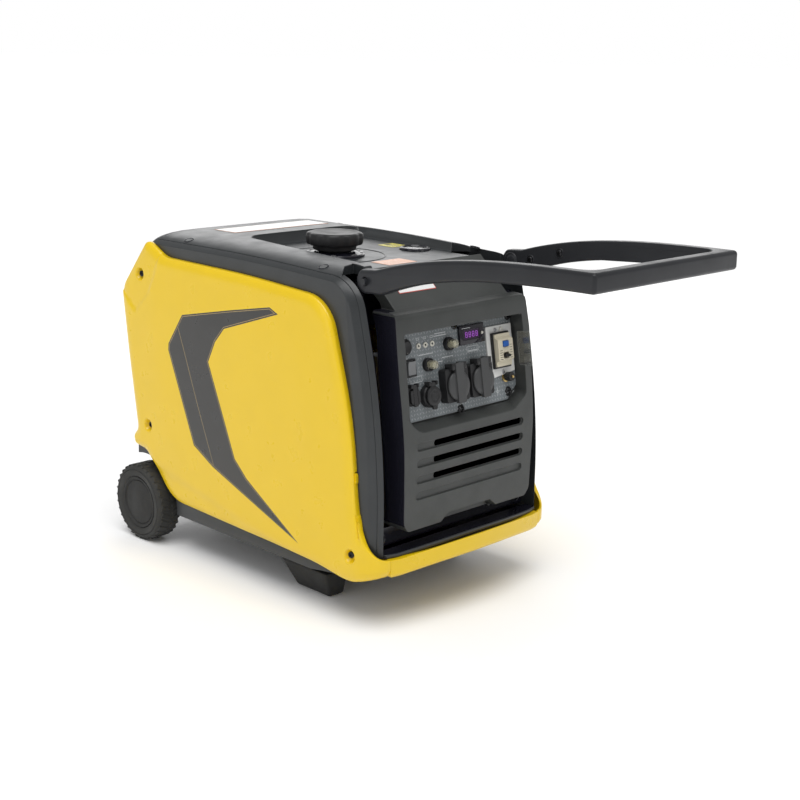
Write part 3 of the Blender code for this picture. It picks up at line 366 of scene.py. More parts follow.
def turned(profile, centre, axis, steps=48, turn=HOME):
    """A turned piece from a (radius, height) profile that runs from axis to axis, or closes on itself."""
    work = bmesh.new()
    rows = []
    for radius, height in profile:
        if radius < 1e-6:
            rows.append([work.verts.new((0, 0, height))])
            continue
        row = []
        for i in range(steps):
            angle = 2 * math.pi * i / steps
            row.append(work.verts.new((radius * math.cos(angle), radius * math.sin(angle), height)))
        rows.append(row)
    pairs = list(zip(rows, rows[1:]))
    if len(rows[0]) > 1:
        pairs.append((rows[-1], rows[0]))
    for near, far in pairs:
        for i in range(steps):
            a, b = near[i % len(near)], near[(i + 1) % len(near)]
            c, d = far[(i + 1) % len(far)], far[i % len(far)]
            corners = []
            for vertex in (a, b, c, d):
                if vertex not in corners:
                    corners.append(vertex)
            if len(corners) > 2:
                work.faces.new(corners)
    work.transform(turn @ Matrix.Translation(Vector(centre)) @ turn_to(axis))
    return to_mesh(work)


STAND = {
    "side": Matrix(((0, 0, 1), (1, 0, 0), (0, 1, 0))),     # outline (back, up), thickness along x
    "front": Matrix(((1, 0, 0), (0, 0, -1), (0, 1, 0))),   # outline (x, up), thickness towards the front
    "top": Matrix(((1, 0, 0), (0, 1, 0), (0, 0, 1))),      # outline (x, back), thickness along up
}


def slab(outline, facing, low, high, bevel=0.0, turn=HOME, rim=None, segments=4):
    """A flat outline given thickness from low to high. rim(a, b) picks the edges to round by bevel."""
    if facing == "front":
        low, high = -high, -low
    work = bmesh.new()
    ring = [work.verts.new((u, v, low)) for u, v in outline]
    face = work.faces.new(ring)
    grown = bmesh.ops.extrude_face_region(work, geom=[face])["geom"]
    for item in grown:
        if isinstance(item, bmesh.types.BMVert):
            item.co.z = high
    bmesh.ops.recalc_face_normals(work, faces=work.faces)
    if bevel:
        sharp = [edge for edge in work.edges if edge.calc_face_angle(0) > math.radians(50)]
        if rim:
            sharp = [edge for edge in sharp if rim(edge.verts[0].co, edge.verts[1].co)]
        bevel_edges(work, sharp, bevel, segments)
    work.transform(turn @ STAND[facing].to_4x4())
    return to_mesh(work)


def combine(mesh, how, tools):
    """A mesh with others cut from it or joined to it."""
    thing = add_object("work", mesh)
    helpers = []
    for tool in tools:
        helper = add_object("tool", tool)
        helpers.append(helper)
        step = thing.modifiers.new("step", "BOOLEAN")
        step.operation = how
        step.solver = "EXACT"
        step.object = helper
    result = bpy.data.meshes.new_from_object(thing.evaluated_get(bpy.context.evaluated_depsgraph_get()))
    for helper in helpers + [thing]:
        bpy.data.objects.remove(helper, do_unlink=True)
    return result


def cut(mesh, *tools):
    return combine(mesh, "DIFFERENCE", tools)


def join(mesh, *tools):
    return combine(mesh, "UNION", tools)


def together(*meshes):
    """Several meshes as one, without joining their surfaces."""
    work = bmesh.new()
    for mesh in meshes:
        work.from_mesh(mesh)
    return finished(work)


def mirrored(mesh):
    """The same mesh on the other side of the middle plane."""
    work = bmesh.new()
    work.from_mesh(mesh)
    work.transform(Matrix.Diagonal((-1, 1, 1, 1)))
    bmesh.ops.reverse_faces(work, faces=work.faces)
    return finished(work)


# --- outlines -----------------------------------------------------------------------------------------
def arc(middle, radius, start, end, steps):
    """Points of a circular arc, angles in degrees."""
    points = []
    for step in range(steps + 1):
        angle = math.radians(start + (end - start) * step / steps)
        points.append((middle[0] + radius * math.cos(angle), middle[1] + radius * math.sin(angle)))
    return points


def rounded(corners, steps=10):
    """A closed outline from (u, v, length) corners: each is rounded by an arc that starts and ends at that
    length from the corner. A length of 0 keeps the corner sharp."""
    outline = []
    count = len(corners)
    for i, (u, v, length) in enumerate(corners):
        corner = Vector((u, v))
        if not length:
            outline.append((u, v))
            continue
        before = (Vector(corners[i - 1][:2]) - corner).normalized()
        after = (Vector(corners[(i + 1) % count][:2]) - corner).normalized()
        half = before.angle(after) / 2
        radius = length * math.tan(half)
        centre = corner + (before + after).normalized() * (radius / math.sin(half))
        first = corner + before * length - centre
        turn = math.pi - 2 * half
        sign = 1 if before.x * after.y - before.y * after.x < 0 else -1
        for step in range(steps + 1):
            spoke = Matrix.Rotation(sign * turn * step / steps, 2) @ first
            outline.append((centre.x + spoke.x, centre.y + spoke.y))
    return outline


def rectangle(u_low, v_low, u_high, v_high, length=0.0, steps=6):
    return rounded([(u_low, v_low, length), (u_high, v_low, length), (u_high, v_high, length),
                    (u_low, v_high, length)], steps)


def circle(middle, radius, count=32):
    return arc(middle, radius, 0, 360 - 360 / count, count - 1)


def resampled(points, spacing, closed=True):
    """The same line with no stretch longer than a spacing."""
    result = []
    ends = points[1:] + points[:1] if closed else points[1:]
    for a, b in zip(points, ends):
        pieces = max(1, math.ceil(math.dist(a, b) / spacing))
        for i in range(pieces):
            t = i / pieces
            result.append((a[0] + (b[0] - a[0]) * t, a[1] + (b[1] - a[1]) * t))
    if not closed:
        result.append(points[-1])
    return result


def distance_to(points, line, closed=True):
    """The distance of each point to a line of points."""
    points = np.asarray(points)
    a = np.asarray(line)
    b = np.roll(a, -1, axis=0)
    if not closed:
        a, b = a[:-1], b[:-1]
    best = np.full(len(points), 9.0)
    for start, end in zip(a, b):
        run = end - start
        t = np.clip(((points - start) @ run) / max(run @ run, 1e-12), 0, 1)
        best = np.minimum(best, np.linalg.norm(points - start - t[:, None] * run, axis=1))
    return best


def inside(points, loop):
    """Whether each point is inside a closed outline."""
    points = np.asarray(points)
    result = np.zeros(len(points), bool)
    for (ax, ay), (bx, by) in zip(loop, loop[1:] + loop[:1]):
        if ay == by:
            continue
        crosses = (ay > points[:, 1]) != (by > points[:, 1])
        at = ax + (points[:, 1] - ay) / (by - ay) * (bx - ax)
        result ^= crosses & (points[:, 0] < at)
    return result


def smooth(value):
    """0 below 0, 1 above 1, and an even rise in between."""
    value = np.clip(value, 0, 1)
    return value * value * (3 - 2 * value)


ROW_STEP = 0.866          # the rows of a grid of even triangles, in spacings of its points


def relief(outline, spacing, rings=(), loops=(), spots=(), areas=()):
    """A flat triangle mesh inside an outline: a grid of points, rings of points along the outline, closed
    loops that triangles don't cross, and extra spots. areas are outlines; a triangle takes the number of
    the last area that it lies in. Gives (points, triangles, area numbers)."""
    border = resampled(outline, spacing)
    us = [p[0] for p in border]
    vs = [p[1] for p in border]
    extra = []
    last = max(rings) if rings else 0.0
    for offset in rings:
        for sign in (1, -1):
            moved = []
            for before, here, after in zip(border[-1:] + border[:-1], border, border[1:] + border[:1]):
                run = Vector(after) - Vector(before)
                across = Vector((-run.y, run.x)).normalized() * sign * offset
                moved.append((here[0] + across.x, here[1] + across.y))
            moved = np.array(moved)
            good = inside(moved, border) & (distance_to(moved, border) > offset * 0.97)
            extra += [tuple(p) for p in moved[good]]
    grid = []
    rows = int((max(vs) - min(vs)) / (spacing * ROW_STEP)) + 1
    for row in range(rows):
        shift = spacing / 2 if row % 2 else 0.0
        for column in range(int((max(us) - min(us)) / spacing) + 1):
            grid.append((min(us) + column * spacing + shift, min(vs) + row * spacing * ROW_STEP))
    grid = np.array(grid)
    fine = [resampled(loop, spacing) for loop in loops]
    keep = inside(grid, border) & (distance_to(grid, border) > last + spacing * 0.5)
    for loop in fine:
        keep &= distance_to(grid, loop) > spacing * 0.35
    for spot in spots:
        keep &= distance_to(grid, [spot, spot]) > spacing * 0.3
    points = [Vector(p) for p in border]
    edges = [(i, (i + 1) % len(border)) for i in range(len(border))]
    for loop in fine:
        start = len(points)
        points += [Vector(p) for p in loop]
        edges += [(start + i, start + (i + 1) % len(loop)) for i in range(len(loop))]
    points += [Vector(p) for p in extra]
    points += [Vector(p) for p in spots]
    points += [Vector(p) for p in grid[keep]]
    verts, _, faces, _, _, _ = geometry.delaunay_2d_cdt(points, edges, [], 0, 1e-5)
    verts = [tuple(v) for v in verts]
    middles = np.array([np.mean([verts[i] for i in face], axis=0) for face in faces])
    good = inside(middles, border)
    faces = [list(face) for face, ok in zip(faces, good) if ok]
    middles = middles[good]
    numbers = np.zeros(len(faces), int)
    for number, area in enumerate(areas):
        numbers[inside(middles, area)] = number + 1
    return np.array(verts), faces, numbers


# --- shell --------------------------------------------------------------------------------------------
BUMPER_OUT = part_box("front_bumper")[1].x
GROUND_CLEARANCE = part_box("base_pan")[0].z
WHEEL_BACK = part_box("axle")[0].y + 0.008 - FRONT
WHEEL_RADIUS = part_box("tyre_left")[1].z / 2
ARCH_RADIUS = 0.083
GROOVE_OUT = 0.1725
GROOVE_IN = 0.1477
FRAME_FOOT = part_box("side_frame_left")[0].z
PANEL_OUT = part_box("front_panel")[1].x
LIP_TOP = 0.1172
BUMPER_FOOT = 0.0810
GAP = 0.0004
TOE_TURN = 0.050          # the side cover turns round the front corner over this depth
TOE_WALL = 0.0035         # depth of the side cover's edge wall at its toe
COVER_SHEET = 0.0022
COVER_RINGS = (0.0004, 0.0012, 0.0024, 0.004, 0.006, 0.0085, 0.0115, 0.015)
GRIP_WINDOW = rectangle(0.300, 0.215, 0.420, 0.265, 0.012)
SERVICE_DOOR = rectangle(0.395, 0.300, 0.560, 0.455, 0.014)
COVER_BOLTS = ((0.570, 0.466), (0.553, 0.209), (0.052, 0.112))
DECAL = [(0.4495, 0.415), (0.3305, 0.440), (0.2335, 0.459), (0.2135, 0.451), (0.3415, 0.409),
         (0.3645, 0.384), (0.3825, 0.349), (0.3175, 0.203), (0.2885, 0.177), (0.1665, 0.101),
         (0.3755, 0.177), (0.4235, 0.202), (0.4885, 0.351), (0.4875, 0.362)]
CORNER_PAD = [(0.5100, 0.5100), (0.5416, 0.4356), (0.5830, 0.3990), (0.6550, 0.4540), (0.5550, 0.5540)]


def body_side(drop=0.0, steps=14, foot=GROUND_CLEARANCE):
    """The body seen from the side: (back, up), from the front's foot, over the top, to the wheel arch."""
    corners = [
        (0.009, foot, 0.012),
        (0.009, 0.306, 0.140),
        (0.066, 0.5295 - drop, 0.050),
        (0.300, 0.5380 - drop, 0.100),
        (0.556, 0.5360 - drop, 0.014),
        (0.628, 0.4470, 0.020),
        (0.624, 0.3000, 0.080),
        (0.6039, 0.1468, 0.0),
    ]
    arch_end = math.degrees(math.asin((foot - WHEEL_RADIUS) / ARCH_RADIUS))
    arch = arc((WHEEL_BACK, WHEEL_RADIUS), ARCH_RADIUS, 80, 180 - arch_end, 20)
    return rounded(corners + [(arch[0][0], arch[0][1], 0), (arch[-1][0], arch[-1][1], 0)], steps)[:-2] + arch


def front_edge(up, drop=0.0):
    """How far back the front edge of the body is at a height."""
    side = body_side(drop)
    for (back_a, up_a), (back_b, up_b) in zip(side, side[1:]):
        if up_a <= up <= up_b and back_a < 0.15:
            return back_a + (back_b - back_a) * (up - up_a) / max(up_b - up_a, 1e-9)
    raise ValueError(up)


def top_edge(back):
    """How high the top of the body is at a distance back."""
    side = body_side()
    for (back_a, up_a), (back_b, up_b) in zip(side, side[1:]):
        if back_a <= back <= back_b and up_a > 0.40:
            return up_a + (up_b - up_a) * (back - back_a) / (back_b - back_a)
    raise ValueError(back)


def body_depth(x, across, up):
    """How far the body lies inside its side outline at a distance x from the middle plane, where the outline
    faces a direction across: rounded at the front corners, crowned on top."""
    x = abs(x)
    front = 0.0355 * max((x - 0.165) / 0.033, 0.0) ** 1.6
    top = 0.0115 * (x / 0.18) ** 9
    rear = 0.012 * max((x - 0.163) / 0.026, 0.0) ** 2 * float(smooth((up - 0.17) / 0.03))
    return (front * max(-across.x, 0.0) ** 2 + rear * max(across.x, 0.0) ** 2
            + top * max(across.y, 0.0) ** 2)


def swept(outline, stations):
    """The body between side outlines at several distances from the middle plane."""
    faces = []
    count = len(outline)
    for i, point in enumerate(outline):
        before = (Vector(point) - Vector(outline[i - 1])).normalized()
        after = (Vector(outline[(i + 1) % count]) - Vector(point)).normalized()
        run = (before + after).normalized()
        faces.append(Vector((-run.y, run.x)))
    rings = []
    for x in stations:
        ring = []
        for (back, up), across in zip(outline, faces):
            depth = body_depth(x, across, up)
            ring.append((x, back - across.x * depth, up - across.y * depth))
        rings.append(ring)
    return loft(rings)


def both_ways(stations):
    return [-x for x in reversed(stations)] + list(stations)


# what is taken away under the front corners, where the body's foot slopes up behind the yellow strip
UNDER_FRONT = [(-0.02, 0.03), (-0.02, 0.0900), (0.012, 0.0820), (0.062, 0.0725), (0.130, 0.0640),
               (0.160, 0.0590), (0.160, 0.03)]


def shrink(outline, amount):
    """An outline moved inwards by an amount, corner by corner."""
    area = sum(a[0] * b[1] - b[0] * a[1] for a, b in zip(outline, outline[1:] + outline[:1]))
    inward = 1 if area > 0 else -1
    moved = []
    count = len(outline)
    for i, point in enumerate(outline):
        before = (Vector(point) - Vector(outline[i - 1])).normalized()
        after = (Vector(outline[(i + 1) % count]) - Vector(point)).normalized()
        normals = [Vector((-run.y, run.x)) * inward for run in (before, after)]
        middle = (normals[0] + normals[1]).normalized()
        shift = Vector(point) + middle * (amount / max(middle.dot(normals[0]), 0.3))
        moved.append((shift.x, shift.y))
    return moved


def cover_outline():
    """The yellow side cover seen from the side, with its toe first: (back, up)."""
    toe = [(0.0, 0.1112, 0.0), (0.007, 0.1160, 0.006), (0.038, 0.1480, 0.030), (0.050, 0.190, 0.050)]
    return rounded(toe + [
        (0.056, 0.300, 0.080), (0.112, 0.4880, 0.045), (0.300, 0.4985, 0.060),
        (0.505, 0.5010, 0.012), (0.554, 0.5250, 0.012), (0.627, 0.4380, 0.014), (0.6125, 0.330, 0.040),
        (0.590, 0.196, 0.008), (0.604, 0.181, 0.006), (0.600, 0.166, 0.006), (0.5660, 0.162, 0.010),
        (0.500, 0.088, 0.030), (0.300, 0.0820, 0.060), (0.135, 0.0785, 0.030), (0.062, 0.0680, 0.020),
        (0.015, 0.0775, 0.020), (0.0, BUMPER_FOOT, 0.0)], 8)


def ramp(points, width, border):
    """0 outside an outline, rising to 1 inside it over a width."""
    return np.where(inside(points, border), smooth(distance_to(points, border) / width), 0.0)


def cover_spots(outline):
    """Extra points of the cover's mesh: rings round the bolts, and rows across the turn at the toe."""
    bolt_spots = []
    for bolt in COVER_BOLTS:
        for radius in (0.0, 0.0020, 0.0040, 0.0054, 0.0062, 0.0072, 0.0083, 0.0094, 0.0105, 0.0116, 0.0130):
            bolt_spots += circle(bolt, radius, 24) if radius else [bolt]
    toe_spots = [(0.050 * (1 - math.cos(turn)), 0.070 + 0.0035 * row)
                 for turn in (0.10, 0.20, 0.32, 0.45, 0.60, 0.78, 0.97, 1.18, 1.38) for row in range(1, 13)]
    toe_spots = [spot for spot, ok in zip(toe_spots, inside(toe_spots, outline)) if ok]
    return bolt_spots + toe_spots


def cover_lines(sign):
    """The lines that the cover's triangles keep to, and the outlines that are coloured or left open."""
    loops = [CORNER_PAD, shrink(CORNER_PAD, 0.004)]
    areas = []
    if sign < 0:
        edge, outer, inner = DECAL, shrink(DECAL, 0.0022), shrink(DECAL, 0.0030)
        divider = [(0.4613, 0.3926), (0.4486, 0.3623), (0.4122, 0.2718), (0.3727, 0.1802),
                   (0.3720, 0.1802), (0.4114, 0.2718), (0.4478, 0.3623), (0.4605, 0.3926)]
        areas = [edge, outer, inner, divider]
        loops += areas
    else:
        areas = [GRIP_WINDOW]
        loops += [GRIP_WINDOW, shrink(GRIP_WINDOW, -0.004), SERVICE_DOOR]
        loops += [shrink(SERVICE_DOOR, amount) for amount in (0.0012, 0.0030, 0.0042)]
    return loops, areas


def cover_drop(points, outline, sign):
    """How far each point of the cover lies below its full bulge: rolled edges, sunk bolts, pad and crease."""
    rim = distance_to(points, outline, closed=False)
    toe = smooth((0.060 - points[:, 0]) / 0.055)
    below = points[:, 1] < 0.092
    edge_depth = 0.0075 + toe * np.where(below, 0.0105, -0.0068)
    edge_width = 0.020 + toe * np.where(below, -0.002, -0.014)
    away = np.clip(1 - rim / edge_width, 0, 1)
    drop = edge_depth * (1 - np.sqrt(1 - away ** 2)) + 0.0025 * (1 - smooth(rim / 0.10)) * (1 - toe)
    for bolt in COVER_BOLTS:
        drop += 0.0085 * smooth((0.0118 - distance_to(points, [bolt, bolt])) / 0.0060)
    drop += 0.0020 * ramp(points, 0.004, CORNER_PAD)
    crease = 0.0732 + (points[:, 0] - 0.105) * (0.1438 - 0.0732) / (0.4926 - 0.105)
    drop += 0.0030 * smooth((crease - points[:, 1]) / 0.020) * smooth((points[:, 0] - 0.08) / 0.05)
    if sign > 0:
        groove = ramp(points, 0.0012, SERVICE_DOOR) - ramp(points, 0.0012, shrink(SERVICE_DOOR, 0.0030))
        drop += 0.0018 * groove
    return drop


def side_cover(side, sign):
    outline = cover_outline()
    loops, areas = cover_lines(sign)
    points, faces, numbers = relief(outline, 0.006, COVER_RINGS, loops, cover_spots(outline), areas)
    drop = cover_drop(points, outline, sign)
    turn = np.clip((TOE_TURN - points[:, 0]) / TOE_TURN, 0, 1)
    depth = COVER_OUT - BUMPER_OUT - GAP
    xs = BUMPER_OUT + GAP + depth * np.sqrt(1 - turn ** 2)
    normal_x = np.sqrt(1 - turn ** 2) / depth
    normal_b = -turn / TOE_TURN
    length = np.hypot(normal_x, normal_b)
    normal_x, normal_b = normal_x / length, normal_b / length
    work = bmesh.new()
    verts = []
    for i, (back, up) in enumerate(points):
        sunk = place(xs[i] - normal_x[i] * drop[i], back - normal_b[i] * drop[i], up)
        verts.append(work.verts.new(sunk))
    for face, number in zip(faces, numbers):
        if sign > 0 and number == 1:
            continue
        made = work.faces.new([verts[i] for i in face])
        made.material_index = 0 if sign > 0 else (0, 1, 2, 1, 2)[number]
    bmesh.ops.delete(work, geom=[v for v in verts if not v.link_faces], context="VERTS")
    lookup = {v: i for i, v in enumerate(verts) if v.is_valid}
    edges = [edge for edge in work.edges if edge.is_boundary]
    walls = bmesh.ops.extrude_edge_only(work, edges=edges)["geom"]
    for vertex in (item for item in walls if isinstance(item, bmesh.types.BMVert)):
        near = min((edge.other_vert(vertex) for edge in vertex.link_edges
                    if edge.other_vert(vertex) in lookup), key=lambda v: (v.co - vertex.co).length)
        i = lookup[near]
        wall_foot = FRAME_OUT + GAP
        share = float(smooth((points[i][0] - 0.002) / 0.045))
        vertex.co.x -= normal_x[i] * TOE_WALL * (1 - share) + (vertex.co.x - wall_foot) * share
        vertex.co.y -= normal_b[i] * TOE_WALL * (1 - share)
    bmesh.ops.recalc_face_normals(work, faces=work.faces)
    mesh = finished(work)
    if sum(polygon.normal.x * polygon.area for polygon in mesh.polygons) < 0:
        mesh.flip_normals()
    if sign < 0:
        mesh = mirrored(mesh)
    finishes = [YELLOW, DECAL_GREY, PINSTRIPE] if sign < 0 else YELLOW
    thing = show("side_cover_shell_" + side, mesh, finishes, replaces=["side_cover_" + side], angle=50)
    shell = thing.modifiers.new("thickness", "SOLIDIFY")
    shell.thickness = COVER_SHEET
    shell.offset = -1
    thing.modifiers.new("even_shading", "WEIGHTED_NORMAL").keep_sharp = True
    bolts(side, sign)


def bolts(side, sign):
    """The dark socket-head bolts at the bottoms of the cover's recesses."""
    for number, (back, up) in enumerate(COVER_BOLTS):
        out = COVER_OUT - (0.0105 if number == 2 else 0.0100)
        axis = (sign, -0.35, 0) if number == 2 else (sign, 0, 0)
        head_back, socket_back = (back + 0.004, back + 0.0030) if number == 2 else (back, back)
        head = rod((sign * out, head_back, up), axis, 0.0050, 0.0060, 28, 0.0010)
        socket = rod((sign * (out + 0.003), socket_back, up), axis, 0.0026, 0.004, 6)
        show("cover_bolt_{}_{}".format(side, number + 1), cut(head, socket), BOLT_BLACK, soften=0.0002)


def bumper_foot_edges(a, b):
    """Chooses the lower front edges of the strip."""
    return max(a.z, b.z) < BUMPER_FOOT + 0.0005 and min(a.y, b.y) < 0.026


def front_bumper():
    bow = [(-BUMPER_OUT, -0.0005)]
    bow += [(x / 1000, -0.0205 + 0.0200 * (abs(x) / 168.6) ** 1.75) for x in range(-160, 161, 10)]
    bow += [(BUMPER_OUT, -0.0005), (BUMPER_OUT, 0.0280), (-BUMPER_OUT, 0.0280)]
    mesh = slab(bow, "top", BUMPER_FOOT, 0.1110, 0.018, rim=bumper_foot_edges, segments=8)
    raise_middle(mesh)
    show("front_bumper_shell", mesh, YELLOW, replaces=["front_bumper"], soften=0.0008, angle=50)


def pan():
    """The floor pan: a shallow tray whose front slopes up behind the foot of the front."""
    side = [(0.040, 0.0858), (0.050, 0.0800), (0.130, 0.0625), (0.150, 0.0602), (0.430, 0.0602),
            (0.447, 0.0840), (0.470, 0.0858)]
    tray = slab(side, "side", -0.1790, 0.1790, 0.004, rim=pan_edges, segments=3)
    for vertex in tray.vertices:
        vertex.co.x *= 1 - 0.08 * (0.0858 - vertex.co.z) / 0.0256
    tray.update()
    ribs = [box((-0.150, 0.165 + 0.055 * i, 0.0590), (0.150, 0.169 + 0.055 * i, 0.0612), 0.0004)
            for i in range(5)]
    rear = box((-0.150, 0.4600, 0.0800), (0.150, 0.5960, 0.0858), 0.001)
    show("pan_moulding", together(tray, rear, *ribs), GREY, replaces=["base_pan"], soften=0.0010, angle=40)


def pan_edges(a, b):
    """Chooses the outer side edges of the pan."""
    return abs(abs(a.z) - 0.1790) < 1e-5 and abs(abs(b.z) - 0.1790) < 1e-5


def side_frames():
    opening = rounded([
        (0.062, 0.100, 0.02), (0.071, 0.330, 0.06), (0.128, 0.473, 0.03), (0.530, 0.486, 0.02),
        (0.610, 0.415, 0.02), (0.598, 0.280, 0.04), (0.580, 0.200, 0.02), (0.490, 0.155, 0.03),
        (0.430, 0.100, 0.02)])
    low, high = SHELL_OUT + GAP, FRAME_OUT
    stations = [low + (high - low) * step / 5 for step in range(6)]
    mesh = swept(body_side(0.0, 14, FRAME_FOOT), stations)
    mesh = cut(mesh, slab(opening, "side", low - 0.01, high + 0.01), slab(UNDER_FRONT, "side", 0.10, 0.20))
    show("side_frame_moulding_right", mesh, GREY, replaces=["side_frame_right"], soften=0.0006, angle=40)
    show("side_frame_moulding_left", mirrored(mesh), GREY, replaces=["side_frame_left"], soften=0.0006,
         angle=40)


def front_frame():
    """The grey surround of the handle groove: a wall on each side, joined by a thin lip at the foot."""
    region = [(-0.020, 0.1115), (-0.020, 0.600), (0.1040, 0.600), (0.1040, 0.470), (0.062, 0.430),
              (0.045, 0.290), (0.045, 0.1115)]
    stations = [GROOVE_OUT + (SHELL_OUT - GROOVE_OUT) * step / 5 for step in range(6)]
    wall = combine(swept(body_side(), stations), "INTERSECT", [slab(region, "side", 0.160, 0.185)])
    bow = [(x / 1000, -0.0125 + 0.0195 * (abs(x) / 165.5) ** 2.2) for x in range(-170, 171, 10)]
    strip = [(-GROOVE_OUT, 0.0140)] + bow + [(GROOVE_OUT, 0.0140)]
    strip += [(x, back + 0.0035) for x, back in reversed(bow)]
    lip = slab(strip, "top", 0.1113, LIP_TOP, 0.0014, rim=lip_front, segments=3)
    raise_middle(lip)
    show("groove_surround", together(wall, mirrored(wall), lip), GREY, replaces=["front_frame"],
         soften=0.0006)
    floor = [(-GROOVE_OUT, 0.030)] + [(x, back + 0.0036) for x, back in bow] + [(GROOVE_OUT, 0.030)]
    show("groove_floor", slab(floor, "top", 0.1113, LIP_TOP - 0.0012), BLACK)


def raise_middle(mesh):
    """The strip under the panel and its lip rise a little towards the middle."""
    for vertex in mesh.vertices:
        vertex.co.z += 0.0075 * max(1 - (vertex.co.x / 0.150) ** 2, 0.0)
    mesh.update()


def lip_front(a, b):
    """Chooses the front edges of the lip's outline (x, back)."""
    return max(a.y, b.y) < 0.0120


SHELL_STATIONS = (0.05, 0.10, 0.13, 0.15, 0.160, 0.167, 0.172, 0.176, SHELL_OUT - 0.0008)
TRAY_FLOOR = 0.5195
TRAY = rounded([(-0.118, 0.095, 0.0), (0.146, 0.095, 0.0), (0.146, 0.420, 0.035), (-0.100, 0.420, 0.035),
                (-0.117, 0.290, 0.060)])
LEFT_POCKET = [(-0.1310, 0.070), (-0.1310, 0.1280), (-0.1500, 0.1265), (-0.1735, 0.1060), (-0.1735, 0.070)]
RIGHT_POCKET = [(0.1265, 0.070), (0.1265, 0.1710), (0.1500, 0.1900), (0.1735, 0.1700), (0.1735, 0.070)]
CAP_MIDDLE = (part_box("fuel_cap")[0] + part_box("fuel_cap")[1]) / 2
CAP_X, CAP_BACK = CAP_MIDDLE.x, CAP_MIDDLE.y - FRONT
GAUGE_MIDDLE = (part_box("fuel_gauge")[0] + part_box("fuel_gauge")[1]) / 2
GAUGE_X, GAUGE_BACK = GAUGE_MIDDLE.x, GAUGE_MIDDLE.y - FRONT


def top_cover():
    region = [(0.1045, 0.502), (0.1045, 0.600), (0.5450, 0.600), (0.5450, 0.510)]
    cover = combine(swept(body_side(), both_ways(SHELL_STATIONS)), "INTERSECT",
                    [slab(region, "side", -0.190, 0.190)])
    floor = shrink(TRAY, 0.0075)
    rim = shrink(TRAY, -0.0010)
    levels = ((floor, TRAY_FLOOR), (shrink(TRAY, 0.0066), TRAY_FLOOR + 0.0015), (TRAY, 0.5345), (rim, 0.5560))
    room = loft([[(x, back, up) for x, back in outline] for outline, up in levels])
    cover = cut(cover, room)
    cover = cut(cover, box((-0.1735, 0.109, 0.45), (0.1735, 0.541, 0.5157)))
    cover = cut(cover, slab(LEFT_POCKET, "top", 0.495, 0.60), slab(RIGHT_POCKET, "top", 0.495, 0.60))
    cover = cut(cover, rod((CAP_X, CAP_BACK, 0.52), (0, 0, 1), 0.0270, 0.06, 48))
    cover = cut(cover, rod((GAUGE_X, GAUGE_BACK, 0.52), (0, 0, 1), 0.0230, 0.06, 48))
    show("top_moulding", cover, GREY, replaces=["top_cover"], soften=0.0014, segments=3, angle=42)
    ridge = [(0.0790, 0.0), (0.0798, 0.0009), (0.0812, 0.0009), (0.0820, 0.0)]
    show("filler_ridge", turned(ridge[::-1], (CAP_X, CAP_BACK, TRAY_FLOOR), (0, 0, 1), 96), GREY)
    for side_name, sign in SIDES:
        for number, (x, back) in enumerate(((0.1665, 0.1540), (0.1690, 0.4760))):
            up = top_edge(back) - body_depth(x, Vector((0, 1)), 0.53)
            lean = (sign * 0.30, 0, 1)
            name = "{}_{}".format(side_name, number + 1)
            plug = [(0.0, 0.0003), (0.0060, 0.0003), (0.0066, -0.0002), (0.0066, -0.0030), (0.0, -0.0030)]
            show("top_plug_" + name, turned(plug, (sign * x, back, up), lean, 32), GREY)
            groove = [(0.0068, -0.0010), (0.0068, 0.0002), (0.0074, 0.0006), (0.0082, 0.0002),
                      (0.0084, -0.0010)]
            show("top_plug_rim_" + name, turned(groove[::-1], (sign * x, back, up), lean, 32), BLACK)


def rear_cover():
    """The rear moulding: louvres on the right, the round exhaust opening on the left."""
    region = [(0.5456, 0.600), (0.5456, 0.5120), (0.5560, 0.5120), (0.5960, 0.4600), (0.6040, 0.4400),
              (0.6030, 0.300), (0.5940, 0.1500), (0.660, 0.1500), (0.660, 0.600)]
    cover = combine(swept(body_side(), both_ways(SHELL_STATIONS)), "INTERSECT",
                    [slab(region, "side", -0.19, 0.19)])
    for row in range(7):
        middle = 0.208 + 0.0195 * row
        slot = rectangle(-0.006, middle - 0.0048, 0.132, middle + 0.0048, 0.0046, 6)
        cover = cut(cover, slab(slot, "front", 0.58, 0.66))
    cover = cut(cover, rod((-0.095, 0.620, 0.330), (0, 1, 0), 0.0260, 0.10, 48))
    skirt = box((-0.158, 0.5990, 0.0870), (0.158, 0.6034, 0.1500), 0.001)
    show("rear_moulding", together(cover, skirt), GREY, replaces=["rear_cover"], soften=0.0010, angle=40)
    slats = [box((-0.008, 0.6070, 0.2170 + 0.0195 * row), (0.134, 0.6200, 0.2186 + 0.0195 * row))
             for row in range(7)]
    show("rear_slats", together(*slats), SWITCH_BLACK)
    bezel = [(0.0262, -0.0015), (0.0262, 0.0040), (0.0285, 0.0055), (0.0330, 0.0050), (0.0350, 0.0030),
             (0.0350, -0.0015)]
    show("exhaust_bezel", turned(bezel[::-1], (-0.095, 0.6215, 0.330), (0, 1, 0), 56), SWITCH_BLACK)
    for side_name, sign in SIDES:
        for number, up in enumerate((0.190, 0.410)):
            show("rear_screw_{}_{}".format(side_name, number + 1),
                 screw((sign * 0.1580, 0.6235 if number else 0.6170, up), (0, 1, 0), 0.0048), BOLT_BLACK)


